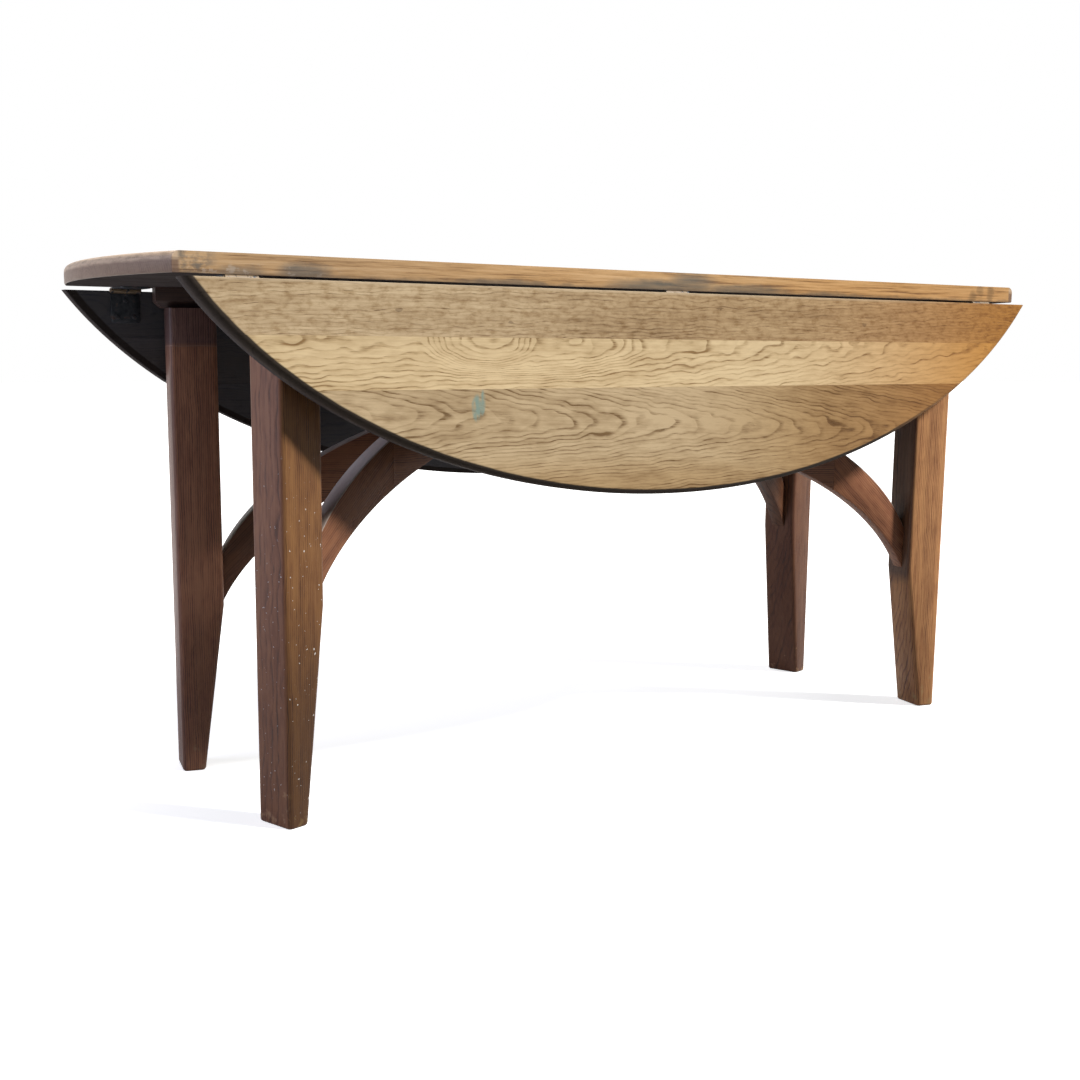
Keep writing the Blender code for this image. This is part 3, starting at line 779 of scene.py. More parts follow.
# %% [markdown]
# Now each of the six boards gets its look: the seed of its tree, its tones, its figure, how strong the ring
# lines and the mottle are, and how far its grain slants. The front leaf follows the photograph, and the
# back leaf has calmer figures of its own.

# %% Finishes of the six leaf boards
leaf_looks = {
    ("front", "inner"): dict(
        seed=1.3, tones=HONEY_LEAF, figure_of=rift(0.0048, 0.21, 0.06), lines=0.4, mottle=0.7,
        slant=math.radians(1.5), marks=pin_knots),
    ("front", "middle"): dict(
        seed=3.1, tones=PALE_LEAF, figure_of=bulls_eye, lines=0.75, mottle=0.9),
    ("front", "outer"): dict(
        seed=5.7, tones=BISCUIT_LEAF, figure_of=flames(0.0041, 0.034, 0.0, 0.080, 0.019), lines=0.72,
        slant=math.radians(2.5), marks=paint_smear),
    ("back", "inner"): dict(
        seed=8.2, tones=BISCUIT_LEAF, figure_of=flames(0.0042, 0.05, 0.03, 0.06, 0.016), lines=0.8),
    ("back", "middle"): dict(
        seed=9.4, tones=PALE_LEAF, figure_of=rift(0.0035, 0.2, 0.012), lines=0.8),
    ("back", "outer"): dict(
        seed=11.5, tones=HONEY_LEAF, figure_of=flames(0.0044, 0.036, 0.01, 0.075, 0.018), lines=0.8),
}
leaf_finishes = {key: leaf_oak(*key, **look) for key, look in leaf_looks.items()}
print("leaf finishes:", len(leaf_finishes))

# %% [markdown]
# ## The finish of the fixed top
# The fixed top is three boards of the same oak. Its long edges face the hinges: they are square, were
# never varnished well, and have taken grey-blue stains where damp reached the steel, and rusty ones at the
# right-hand hinge. Each stain is a soft oval on the edge, and noise that is stretched along the grain
# breaks it into streaks.

# %% The long edges
EDGE_PALE = (0.66, 0.44, 0.235)
EDGE_TAN = (0.53, 0.325, 0.15)
EDGE_DARK = (0.22, 0.12, 0.055)
DAMP_STAIN = (0.115, 0.118, 0.108)
RUST_STAIN = (0.14, 0.095, 0.055)
BARE_PALE = (0.62, 0.53, 0.42)
COOL_GLASS = (0.86, 0.90, 1.0)
WARM_GLASS = (1.0, 0.92, 0.78)
GRIME = (0.12, 0.09, 0.07)
DAMP_PLACES = (
    # x along the edge, share of the thickness, length, height, strength
    (-0.690, 0.15, 0.040, 0.40, 0.60),
    (-0.605, 0.25, 0.045, 0.55, 0.95),
    (-0.300, 0.05, 0.090, 0.30, 0.70),
    (-0.040, 0.15, 0.110, 0.55, 1.00),
    (0.030, 0.40, 0.060, 0.80, 0.85),
    (0.140, 0.10, 0.110, 0.50, 0.90),
    (0.330, 0.05, 0.080, 0.30, 0.60),
    (0.672, 0.25, 0.014, 0.60, 0.70),
    (0.690, 0.70, 0.012, 0.60, 0.60),
    (0.718, 0.60, 0.012, 0.80, 0.70),
)


def long_edge_colour(graph, point, x, rise, ragged, streaks, seed):
    """Streaky tan with damp stains, a gritty left corner, chips beside it and a grimy lower arris."""
    colour = graph.ramp(streaks, [(0.34, EDGE_DARK), (0.47, EDGE_TAN), (0.66, EDGE_PALE)])
    spread_x = graph.total(x, graph.times(ragged, 0.02))
    spread_rise = graph.total(rise, graph.times(ragged, 0.5))
    damp = 0.0
    for place, height, length, tall, strength in DAMP_PLACES:
        mask = graph.spot(spread_x, spread_rise, (place, height), (length, tall), 0.0)
        damp = graph.either(damp, graph.times(mask, strength))
    soaked = graph.total(0.3, graph.noise(point, (16, 60, 220), seed + 2.0, 3.0))
    stain = graph.mix(graph.step(x, 0.45, 0.6), DAMP_STAIN, RUST_STAIN)
    colour = graph.mix(graph.times(damp, soaked), colour, stain)
    grit = graph.noise(point, (85, 85, 130), seed, 3.0, 0.6)
    corner = graph.step(graph.total(x, graph.times(ragged, 0.03)), -0.715, -0.745)
    colour = graph.mix(graph.times(corner, graph.step(grit, 0.38, 0.66), 0.75), colour, DAMP_STAIN)
    chips = graph.times(graph.step(x, -0.52, -0.62), graph.step(rise, 0.75, 0.2),
                        graph.step(grit, 0.45, 0.36))
    colour = graph.mix(graph.times(chips, 0.4), colour, BARE_PALE)
    colour = graph.tint(graph.step(x, -0.2, -0.6), colour, COOL_GLASS)
    colour = graph.tint(graph.step(x, 0.0, 0.4), colour, WARM_GLASS)
    return graph.mix(graph.times(graph.step(spread_rise, 0.22, 0.0), 0.55), colour, GRIME)


print("damp places:", len(DAMP_PLACES))

# %% [markdown]
# The round ends are pale along the upper arris, partly rubbed and partly a painted highlight, and dark
# below it, partly stain and partly painted shade. The underside was never varnished, so it gets a finish
# of its own without any gloss, and its dark grey tones are painted shade.

# %% Boards of the fixed top and the underside
TOP_TONES = ((0.60, 0.44, 0.255), (0.46, 0.315, 0.165), (0.20, 0.12, 0.055))
# The dark grey tones of the underside are painted shade.
UNDERSIDE_SHADE_TONES = ((0.25, 0.225, 0.215), (0.19, 0.17, 0.165), (0.10, 0.088, 0.085))
# Pale above, partly a painted highlight, and dark below, partly painted shade.
END_PALE_AND_HIGHLIGHT = (0.60, 0.45, 0.315)
END_DARK_AND_SHADE = (0.185, 0.118, 0.088)
END_STREAK = (0.13, 0.08, 0.055)
END_WIDTH, END_FULL_WIDTH = 0.011, 0.006
EDGE_SKIN, EDGE_FULL_SKIN = 0.0016, 0.0004


def end_colour(graph, rise, ragged, streaks):
    """Pale above, partly a painted highlight, and dark below, partly painted shade, with darker streaks."""
    rubbed_and_lit = graph.step(graph.total(rise, graph.times(ragged, 0.12)), 0.52, 0.70)
    colour = graph.mix(rubbed_and_lit, END_DARK_AND_SHADE, END_PALE_AND_HIGHLIGHT)
    return graph.mix(graph.times(graph.step(streaks, 0.56, 0.36), 0.45), colour, END_STREAK)


def top_oak(place, seed, centre_y, figure_values):
    """One board of the fixed top."""
    material, graph, shader, point = start_finish(place + "_top_oak")
    grain_point = board_point(graph, point, (0, centre_y, TOP_Z), (1, 0, 0), (0, 1, 0))
    oak = grow_oak(graph, grain_point, seed, *figure_values)
    axes = graph.split(point)
    rise = graph.math("DIVIDE", graph.less(axes["Z"], UNDERSIDE_Z), THICKNESS)
    ragged = graph.sway(point, (40, 40, 90), seed, 4.0, 0.6)
    streaks = graph.noise(point, (9, 60, 280), seed, 4.0, 0.65)
    long_edge = graph.step(graph.size(axes["Y"]), HALF_TOP - EDGE_SKIN, HALF_TOP - EDGE_FULL_SKIN)
    colour = graph.mix(long_edge, oak_colour(graph, oak, TOP_TONES),
                       long_edge_colour(graph, point, axes["X"], rise, ragged, streaks, seed))
    from_end_centre = graph.reach(graph.less(graph.size(axes["X"]), END_CENTRE_X), axes["Y"])
    end = graph.step(from_end_centre, END_RADIUS - END_WIDTH, END_RADIUS - END_FULL_WIDTH)
    colour = graph.mix(graph.times(end, 0.85), colour, end_colour(graph, rise, ragged, streaks))
    rough = graph.total(0.36, graph.times(oak["Fibre"], 0.2), graph.times(long_edge, 0.2))
    lay_on(graph, shader, colour, rough, WOOD_GLOSS)
    oak_relief(graph, shader, oak, 0.45)
    return material


def dull_oak(name, seed):
    """The bare underside, which has no gloss, in dark tones of painted shade."""
    material, graph, shader, point = start_finish(name)
    oak = grow_oak(graph, board_point(graph, point, (0, 0, UNDERSIDE_Z), (1, 0, 0), (0, -1, 0)), seed)
    rough = graph.total(0.75, graph.times(oak["Fibre"], 0.2))
    lay_on(graph, shader, oak_colour(graph, oak, UNDERSIDE_SHADE_TONES), rough, NO_GLOSS)
    oak_relief(graph, shader, oak, 0.6)
    return material


underside_finish = dull_oak("underside_shade_oak", 28.4)
top_finishes = {
    # seed, middle of the board, and the values of its figure in the order that grow_oak takes
    "front": top_oak("front", 21.0, -2 * HALF_TOP / 3, (0.0038, 0.09, 0.20, 0.03, 0.02)),
    "centre": top_oak("centre", 23.5, 0.0, (0.0042, 0.036, -0.01, 0.070, 0.017)),
    "back": top_oak("back", 26.2, 2 * HALF_TOP / 3, (0.0034, 0.09, 0.20, 0.012, 0.025)),
}
print("top finishes:", len(top_finishes))

# %% [markdown]
# ## The finish of the leg frames
# The frames kept their reddish-brown stain and a thin, worn varnish. The grain of a leg runs up it, that
# of a rail or a centre arch along it, and that of a brace along its chord. So one function makes them all,
# and takes the two directions of the board and its tone, which also holds painted light and shade.

# %% Stained oak
FRAME_TONES = ((0.40, 0.178, 0.090), (0.27, 0.108, 0.056), (0.095, 0.038, 0.021))
STAIN_RUNS = (0.105, 0.042, 0.026)
DUST_AND_HIGHLIGHT = (0.52, 0.49, 0.45)
FRAME_FIGURE = (0.0032, 0.09, 0.16, 0.008, 0.012)


def frame_oak(name, seed, along, across, tone_and_light, dust_and_highlight=None, wear_and_shade=None):
    """Stained oak for a leg, a brace, an arch or a rail."""
    material, graph, shader, point = start_finish(name)
    grain_point = board_point(graph, point, (0, 0, 0), along, across)
    oak = grow_oak(graph, grain_point, seed, *FRAME_FIGURE)
    tones = [[tone_and_light * part for part in tone] for tone in FRAME_TONES]
    colour = oak_colour(graph, oak, tones, 0.8)
    runs = graph.step(graph.noise(grain_point, (2.2, 26.0, 26.0), seed, 4.0, 0.6), 0.42, 0.7)
    colour = graph.mix(graph.times(runs, 0.4), colour, STAIN_RUNS)
    axes = graph.split(point)
    if dust_and_highlight:
        patchy = graph.total(0.55, graph.times(graph.noise(point, (25, 25, 25), seed, 3.0), 0.5))
        # Dust with a painted highlight on the upper edges.
        colour = graph.mix(graph.times(dust_and_highlight(graph, axes), patchy, 0.8), colour, DUST_AND_HIGHLIGHT)
    if wear_and_shade:
        colour = wear_and_shade(graph, colour, point, axes["Z"])
    rough = graph.total(0.34, graph.times(oak["Fibre"], 0.22), graph.times(runs, 0.08))
    lay_on(graph, shader, colour, rough, WOOD_GLOSS)
    oak_relief(graph, shader, oak, 0.5)
    return material


def frame_directions(azimuth):
    """Along a frame, across it in plan, and up."""
    outward = Vector((math.cos(azimuth), math.sin(azimuth), 0))
    return outward, Vector((-outward.y, outward.x, 0)), Vector((0, 0, 1))


def dust_and_highlight_on_arch(outward, apex):
    """Dust and a painted highlight on the upper edge of an arch or brace."""
    def mask(graph, axes):
        share = graph.total(graph.times(axes["X"], outward.x / ARCH_HALF_SPAN),
                            graph.times(axes["Y"], outward.y / ARCH_HALF_SPAN))
        curve = graph.math("SQRT", graph.less(1.0, graph.times(share, share)))
        edge = graph.total(graph.times(curve, ARCH_RISE), apex - ARCH_RISE + ARCH_DEPTH)
        return graph.step(graph.less(axes["Z"], edge), -0.0035, -0.0015)
    return mask


print("stained oak ready")

# %% [markdown]
# No two legs look alike. All are scuffed at the foot and darkened towards the floor with painted shade. The
# front left one has specks of white paint and painted shade low on its front, the front right one is
# tinted golden with painted shade on its inner face, and the back left one has a cool grey painted shade
# with a thin pale line round it. The rails get a grey painted shade, as under the top. Each kind of wear
# and painted shade is a function that takes the colour so far and gives it back changed.

# %% Wear and painted shade on the legs and rails
RUBBED = (0.47, 0.29, 0.16)
PAINTED_FLOOR_SHADE = (0.75, 0.73, 0.72)
WHITE_PAINT = (0.75, 0.73, 0.70)
OLIVE_GLASS = (0.97, 1.06, 0.80)
FRONT_SHADE_GLASS = (0.50, 0.47, 0.42)
GOLDEN_GLASS = (0.87, 1.0, 0.87)
INNER_SHADE_GLASS = (0.22, 0.22, 0.26)
COOL_SHADE_GLASS = (0.80, 0.88, 1.0)
SHADE_FILM = (0.12, 0.10, 0.12)
OUTSIDE_SHADE_GLASS = (0.42, 0.42, 0.44)
UPPER_SHADE_GLASS = (0.50, 0.58, 0.80)
PALE_LINE = (0.36, 0.24, 0.18)
RAIL_SHADE_GREY = (0.045, 0.042, 0.045)
LINE_LOW, LINE_HIGH, LINE_SOFT = 0.6302, 0.6316, 0.0008


def face_of(graph, point, direction, start, full):
    """A mask of the face that lies between two distances along a direction."""
    return graph.step(graph.along(point, direction), start, full)


def scuffed_and_shaded_foot(graph, colour, point, z):
    """A leg with painted shade that deepens towards the floor, and pale scuffs that get fewer with height.
    """
    # Painted shade that deepens towards the floor.
    colour = graph.tint(graph.step(z, 0.42, 0.05), colour, PAINTED_FLOOR_SHADE)
    ragged = graph.noise(point, (60, 60, 35), 2.0, 4.0, 0.65)
    scuff = graph.step(graph.less(ragged, graph.times(z, 2.4)), 0.50, 0.62)
    return graph.mix(graph.times(scuff, 0.55), colour, RUBBED)


def painted_specks(graph, colour, point, z):
    """Specks of white paint on the lower half, over the scuffs, and an olive front with painted shade low
    down.
    """
    colour = scuffed_and_shaded_foot(graph, colour, point, z)
    facing = frame_directions(AZIMUTHS["front_left"])[1]
    front = face_of(graph, point, facing, LEG_HIGH.y - 0.004, LEG_HIGH.y - 0.0005)
    colour = graph.tint(front, colour, OLIVE_GLASS)
    # Painted shade on the lower front.
    colour = graph.tint(graph.times(front, graph.step(z, 0.36, 0.12)), colour, FRONT_SHADE_GLASS)
    specks = graph.step(graph.noise(point, (240, 240, 200), 6.0, 2.0), 0.69, 0.72)
    low = graph.times(graph.step(z, 0.52, 0.40), graph.step(z, 0.0, 0.05))
    return graph.mix(graph.times(specks, low, 0.85), colour, WHITE_PAINT)


def sunlit_outside_shaded_inside(graph, colour, point, z):
    """A leg tinted golden, with painted shade on its inner face."""
    colour = graph.tint(1.0, scuffed_and_shaded_foot(graph, colour, point, z), GOLDEN_GLASS)
    outward = frame_directions(AZIMUTHS["front_right"])[0]
    # Painted shade on the inner face.
    inside = face_of(graph, point, outward, LEG_INNER + 0.005, LEG_INNER + 0.001)
    return graph.tint(inside, colour, INNER_SHADE_GLASS)


def pale_line_and_shade(graph, colour, point, z):
    """A thin pale line round the leg, and painted shade: a cool grey cast, darker outside and above the
    line.
    """
    # Painted shade: a cool grey cast over the whole leg.
    colour = graph.tint(1.0, scuffed_and_shaded_foot(graph, colour, point, z), COOL_SHADE_GLASS)
    colour = graph.mix(0.10, colour, SHADE_FILM)
    # Painted shade on the outer face.
    outward = frame_directions(AZIMUTHS["back_left"])[0]
    outside = face_of(graph, point, outward, LEG_HIGH.x - 0.007, LEG_HIGH.x - 0.001)
    colour = graph.tint(outside, colour, OUTSIDE_SHADE_GLASS)
    # Painted shade above the pale line.
    colour = graph.tint(graph.step(z, 0.627, 0.637), colour, UPPER_SHADE_GLASS)
    wave = graph.times(graph.sway(point, (40, 40, 5), 3.0), 0.004)
    line = graph.band(graph.total(z, wave), LINE_LOW, LINE_HIGH, LINE_SOFT)
    return graph.mix(graph.times(line, 0.45), colour, PALE_LINE)


def painted_rail_shade(graph, colour, point, z):
    """Painted shade on a rail: greyed and darkened, as under the top."""
    # Painted shade: the rail is greyed and darkened as under the top.
    return graph.mix(0.6, colour, RAIL_SHADE_GREY)


# Wear, and painted shade, for each leg.
leg_wear_and_shade = {
    "front_left": painted_specks,
    "front_right": sunlit_outside_shaded_inside,
    "back_left": pale_line_and_shade,
    "back_right": scuffed_and_shaded_foot,
}
print("kinds of wear:", len(leg_wear_and_shade) + 1)

# %% [markdown]
# Each piece has its own tone, which also holds painted light and shade: the lit pieces are made paler and
# the shaded ones darker. A brace's grain follows the straight line between its two ends, and dust with a
# painted highlight lies on the upper edges of the arches.

# %% Finishes of the leg frames
# The tones of the pieces also hold painted light and shade: lit pieces are paler, shaded ones darker.
LEG_TONE_AND_LIGHT = {"front_left": 0.60, "front_right": 2.05, "back_left": 1.7, "back_right": 0.45}
BRACE_TONE_AND_LIGHT = {"front_left": 0.60, "front_right": 1.0, "back_left": 0.3, "back_right": 0.35}
ARCH_PALENESS = 0.60
RAIL_TONE_AND_SHADE = 0.35
FIRST_SEED = {"leg": 31.0, "brace": 47.0, "arch": 61.0, "rail": 71.0}
SEED_STEP = {"leg": 3.7, "brace": 2.9, "arch": 4.3, "rail": 4.3}


def stained(place, kind, number, along, across, tone_and_light, dust_and_highlight=None, wear_and_shade=None):
    """The finish of one piece, named after its place and its kind and with a seed of its own."""
    seed = FIRST_SEED[kind] + SEED_STEP[kind] * number
    return frame_oak(place + "_" + kind + "_oak", seed, along, across, tone_and_light, dust_and_highlight, wear_and_shade)


leg_finishes = {}
brace_finishes = {}
for number, (corner, azimuth) in enumerate(AZIMUTHS.items()):
    outward, sideways, up = frame_directions(azimuth)
    leg_finishes[corner] = stained(corner, "leg", number, up, sideways, LEG_TONE_AND_LIGHT[corner],
                                   wear_and_shade=leg_wear_and_shade[corner])
    apex = ARCH_APEX[FRAME_OF[corner]]
    fall = arch_height(BRACE_LOW.x, apex) - arch_height(LEG_INNER, apex)
    chord = (outward * (LEG_INNER - BRACE_LOW.x) - up * fall).normalized()
    brace_finishes[corner] = stained(corner, "brace", number, chord, chord.cross(sideways),
                                     BRACE_TONE_AND_LIGHT[corner], dust_and_highlight=dust_and_highlight_on_arch(outward, apex))
arch_finishes = {}
rail_finishes = {}
for number, (frame_name, azimuth) in enumerate((("upper", SPLAY), ("lower", -SPLAY))):
    outward, sideways, up = frame_directions(azimuth)
    arch_finishes[frame_name] = stained(frame_name, "arch", number, outward, up, ARCH_PALENESS,
                                        dust_and_highlight=dust_and_highlight_on_arch(outward, ARCH_APEX[frame_name]))
    rail_finishes[frame_name] = stained(frame_name, "rail", number, outward, up, RAIL_TONE_AND_SHADE,
                                        wear_and_shade=painted_rail_shade)
print("frame finishes:", len(leg_finishes) + len(brace_finishes) + len(arch_finishes) + len(rail_finishes))

# %% [markdown]
# ## Steel
# The hinges are blued steel, nearly black, with a little rust. The knuckles have pale patches, which
# show in the dark gap under the top. The pivot bolts and washers are plain grey steel with a dull bloom. In
# each finish one noise drives the colour, the roughness and the rust, because on real steel they change at
# the same places.

# %% Finish of the hinges and bolts
STEEL_GLOSS = 0.5
BLUED_DARK = (0.018, 0.022, 0.028)
BLUED_PALE = (0.045, 0.048, 0.055)
RUST = (0.11, 0.045, 0.02)
PALE_KNUCKLE_PATCH = (0.22, 0.155, 0.09)
GREY_DARK = (0.20, 0.195, 0.19)
GREY_PALE = (0.36, 0.355, 0.35)
BROWN_BLOOM = (0.17, 0.09, 0.05)


def blued_steel(name, pale_knuckles):
    """Blued steel with patches of rust, and for a hinge pale patches on its knuckles."""
    material, graph, shader, point = start_finish(name)
    patches = graph.noise(point, (120, 120, 120), 2.0, 5.0, 0.6)
    rust = graph.step(patches, 0.55, 0.72)
    colour = graph.ramp(patches, [(0.3, BLUED_DARK), (0.6, BLUED_PALE)])
    colour = graph.mix(graph.times(rust, 0.6), colour, RUST)
    metal = graph.less(0.9, graph.times(rust, 0.7))
    if pale_knuckles:
        axes = graph.split(point)
        from_pin = graph.reach(graph.less(graph.size(axes["Y"]), PIN_Y), graph.less(axes["Z"], PIN_Z))
        # Pale patches on the knuckles.
        pale_patches = graph.times(graph.step(from_pin, KNUCKLE_RADIUS * 1.35, KNUCKLE_RADIUS * 1.1),
                            graph.step(graph.noise(point, (160, 160, 160), 5.0, 3.0), 0.36, 0.52), 0.9)
        colour = graph.mix(pale_patches, colour, PALE_KNUCKLE_PATCH)
        metal = graph.times(metal, graph.less(1.0, pale_patches))
    graph.feed(shader.inputs["Metallic"], metal)
    rough = graph.total(0.38, graph.times(patches, 0.3), graph.times(rust, 0.2))
    lay_on(graph, shader, colour, rough, STEEL_GLOSS)
    relief(graph, shader, patches, 0.25, 0.0003)
    return material


def grey_steel(name):
    """Plain grey steel with a dull bloom."""
    material, graph, shader, point = start_finish(name)
    bloom = graph.noise(point, (300, 300, 300), 4.0, 4.0, 0.6)
    colour = graph.ramp(bloom, [(0.3, GREY_DARK), (0.62, GREY_PALE)])
    colour = graph.mix(graph.step(bloom, 0.62, 0.75), colour, BROWN_BLOOM)
    shader.inputs["Metallic"].default_value = 0.95
    lay_on(graph, shader, colour, graph.total(0.3, graph.times(bloom, 0.35)), STEEL_GLOSS)
    return material


hinge_steel = blued_steel("hinge_steel", True)
screw_steel = blued_steel("screw_steel", False)
bolt_steel = grey_steel("bolt_steel")
print("steel finishes for the hinges, the screws and the bolts ready")

# %% [markdown]
# ## The oval top
# A maker glues up one wide panel, saws the oval, rounds its upper edge and only then saws the leaves
# off along the hinge lines, so that the edge runs on over the joints. The same order works here: one
# oval slab is bevelled, and the boards are sawn out of it. That leaves the hinge lines square. Outlines
# drawn point by point would also do, but a circle that is stretched is a true oval at once. The fixed top
# is made alike from a circle that is drawn apart in the middle, because its ends bulge as arcs.

# %% The two slabs
OVAL_SIDES = 288
EDGE_ROUND = 0.010
EDGE_ROUND_STEPS = 7
LOWER_ARRIS = 0.002
LOWER_ARRIS_STEPS = 2


def slab(name, half_length, half_width, spread):
    """A rounded slab from a circle that is stretched, or drawn apart in the middle by a spread."""
    bpy.ops.mesh.primitive_circle_add(vertices=OVAL_SIDES, radius=1.0, fill_type="NGON",
                                      location=(0, 0, UNDERSIDE_Z))
    piece = bpy.context.object
    piece.name = name
    piece.scale = (half_length, half_width, 1)
    shape(settle(piece))
    for end in (-1, 1):
        pick("VERT", lambda points: points[0].x * end > NEAR)
        bpy.ops.transform.translate(value=(end * spread, 0, 0))
    bpy.ops.mesh.select_all(action="SELECT")
    bpy.ops.mesh.extrude_region_move(TRANSFORM_OT_translate={"value": (0, 0, THICKNESS)})
    round_edges(level(2, TOP_Z), EDGE_ROUND, EDGE_ROUND_STEPS)
    round_edges(level(2, UNDERSIDE_Z), LOWER_ARRIS, LOWER_ARRIS_STEPS)
    close()
    print(name, "has", len(piece.data.polygons), "faces")
    return piece


leaf_slab = slab("leaf slab", SEMI_LENGTH, SEMI_WIDTH, 0.0)
top_slab = slab("top slab", END_RADIUS, END_RADIUS, END_CENTRE_X)

# %% [markdown]
# Each board is a copy of a slab, sawn along its two seams. A hair's breadth between the boards lets the
# seams show as fine lines. The faces that look down get the dull finish of the underside, with its painted
# shade.

# %% Saw the boards of the fixed top
SEAM = 0.00004
HINGE_ARRIS = 0.0012
HINGE_ARRIS_STEPS = 3
LOOKS_DOWN = -0.99


def board(whole, name, low_y, high_y, worn_edges=()):
    """A board between two lines along X, with the arris eased where it meets a hinge line."""
    piece = copy_of(whole, name)
    shape(piece)
    saw((0, low_y, 0), (0, -1, 0))
    saw((0, high_y, 0), (0, 1, 0))
    for edge_y in worn_edges:
        on_line = level(1, edge_y)
        round_edges(lambda points: on_line(points) and abs(points[0].x - points[1].x) > HALF_TOP,
                    HINGE_ARRIS, HINGE_ARRIS_STEPS)
    close()
    return piece


fixed_boards = {
    "front": (-HALF_TOP, -TOP_SEAM_Y, (-HALF_TOP,)),
    "centre": (-TOP_SEAM_Y + SEAM, TOP_SEAM_Y - SEAM, ()),
    "back": (TOP_SEAM_Y, HALF_TOP, (HALF_TOP,)),
}
for place, (low_y, high_y, worn_edges) in fixed_boards.items():
    node = "fixed_top_" + place + "_board"
    piece = board(top_slab, node + "_wood", low_y, high_y, worn_edges)
    stand_for(piece, node, top_finishes[place])
    piece.data.materials.append(underside_finish)
    for face in piece.data.polygons:
        face.material_index = int(face.normal.z < LOOKS_DOWN)
discard(top_slab)

# %% [markdown]
# The boards of a leaf are sawn while it lies level, and are then turned down about the hinge pin. The
# front leaf is the back one, turned half round.

# %% Hang the leaves
leaf_boards = {
    "inner": (LEAF_EDGE_Y, LEAF_SEAMS_Y[0], (LEAF_EDGE_Y,)),
    "middle": (LEAF_SEAMS_Y[0] + SEAM, LEAF_SEAMS_Y[1], ()),
    "outer": (LEAF_SEAMS_Y[1] + SEAM, SEMI_WIDTH, ()),
}
for side in ("front", "back"):
    for place, (low_y, high_y, worn_edges) in leaf_boards.items():
        node = side + "_leaf_" + place + "_board"
        piece = board(leaf_slab, node + "_wood", low_y, high_y, worn_edges)
        turn(piece, -QUARTER, "X", PIVOTS["back_leaf"])
        if side == "front":
            turn(piece, math.pi, "Z")
        stand_for(piece, node, leaf_finishes[side, place])
discard(leaf_slab)

# %% [markdown]
# ## The legs
# Each leg is plumb outside and tapers inside, below the place where the arch meets it. It is a block
# with one more loop cut at the height of the brace's foot, and the inner edge of the foot is drawn out.
# The long arrises are rounded with a plane and the foot is worn round, so both are bevelled in a few
# steps. The mortise for the brace and the holes for the dowels are cut with Boolean tools, which take a
# copy of the tongue or the peg out of the wood, as a chisel and a drill do.

# %% One leg, four copies
LEG_ROUND = 0.007
LEG_ROUND_STEPS = 5
FOOT_ROUND = 0.004
FOOT_ROUND_STEPS = 3
TENON_HALF_THICKNESS = 0.006
TENON_HALF_HEIGHT = 0.018
TENON_REACH = BRACE_HIGH.x
TENON_ROOT = 0.002
DOWEL_SIDES = 20
DOWELS = [turned_box("back_right_" + place + "_dowel", SPLAY) for place in ("inner", "outer")]


def tenon(apex, play):
    """The tongue that joins a brace to its leg, or with play the mortise that takes it."""
    middle = arch_height(LEG_INNER, apex) + ARCH_DEPTH / 2
    half = Vector((0, TENON_HALF_THICKNESS + play, TENON_HALF_HEIGHT + play))
    start = Vector((LEG_INNER - TENON_ROOT, 0, middle))
    end = Vector((TENON_REACH + 2 * play, 0, middle))
    return block("tenon", start - half, end + half)


def leg_post(name, apex):
    """A leg at the +X end of a frame, with its mortise and dowel holes."""
    post = block(name, LEG_LOW, LEG_HIGH)
    shape(post)
    bpy.ops.mesh.bisect(plane_co=(0, 0, arch_height(LEG_INNER, apex)), plane_no=(0, 0, 1))
    pick("VERT", lambda points: points[0].z < NEAR and points[0].x < LEG_INNER + NEAR)
    bpy.ops.transform.translate(value=(LEG_HIGH.x - FOOT_DEPTH - LEG_INNER, 0, 0))
    round_edges(lambda points: abs(points[0].z - points[1].z) > NEAR, LEG_ROUND, LEG_ROUND_STEPS)
    round_edges(level(2, 0.0), FOOT_ROUND, FOOT_ROUND_STEPS)
    close()
    join(post, tenon(apex, PLAY), "DIFFERENCE")
    for low, high in DOWELS:
        axis_x = (low.x + high.x) / 2
        radius = (high.y - low.y) / 2 + PLAY
        hole = peg("hole", radius, (axis_x, 0, low.z - PLAY), (axis_x, 0, LEG_HIGH.z + THICKNESS),
                   DOWEL_SIDES)
        join(post, hole, "DIFFERENCE")
    return post


posts = {name: leg_post(name + " leg", apex) for name, apex in ARCH_APEX.items()}
for corner, azimuth in AZIMUTHS.items():
    node = corner + "_leg"
    leg = copy_of(posts[FRAME_OF[corner]], node + "_wood")
    stand_for(turn(leg, azimuth, "Z"), node, leg_finishes[corner])
discard(*posts.values())

# %% [markdown]
# ## The arches
# Each frame is stiffened by an arch of three lengths: a centre arch, and at each end a brace that is
# tenoned into the leg. The curve is half an ellipse and the bar keeps the same upright depth, as when both
# edges are sawn to one template. A curve object with a thickness would measure its depth square to the
# curve. So a circle is stretched into the ellipse, cut to length, and drawn up to the depth and then back
# to the thickness. The arch of one frame lies higher, so that they can cross.

# %% Arch bars and braces
ARCH_SIDES = 360
ARCH_ARRIS = 0.002
ARCH_ARRIS_STEPS = 2
ARCH_HALF_THICKNESS = ARCH_HIGH.y


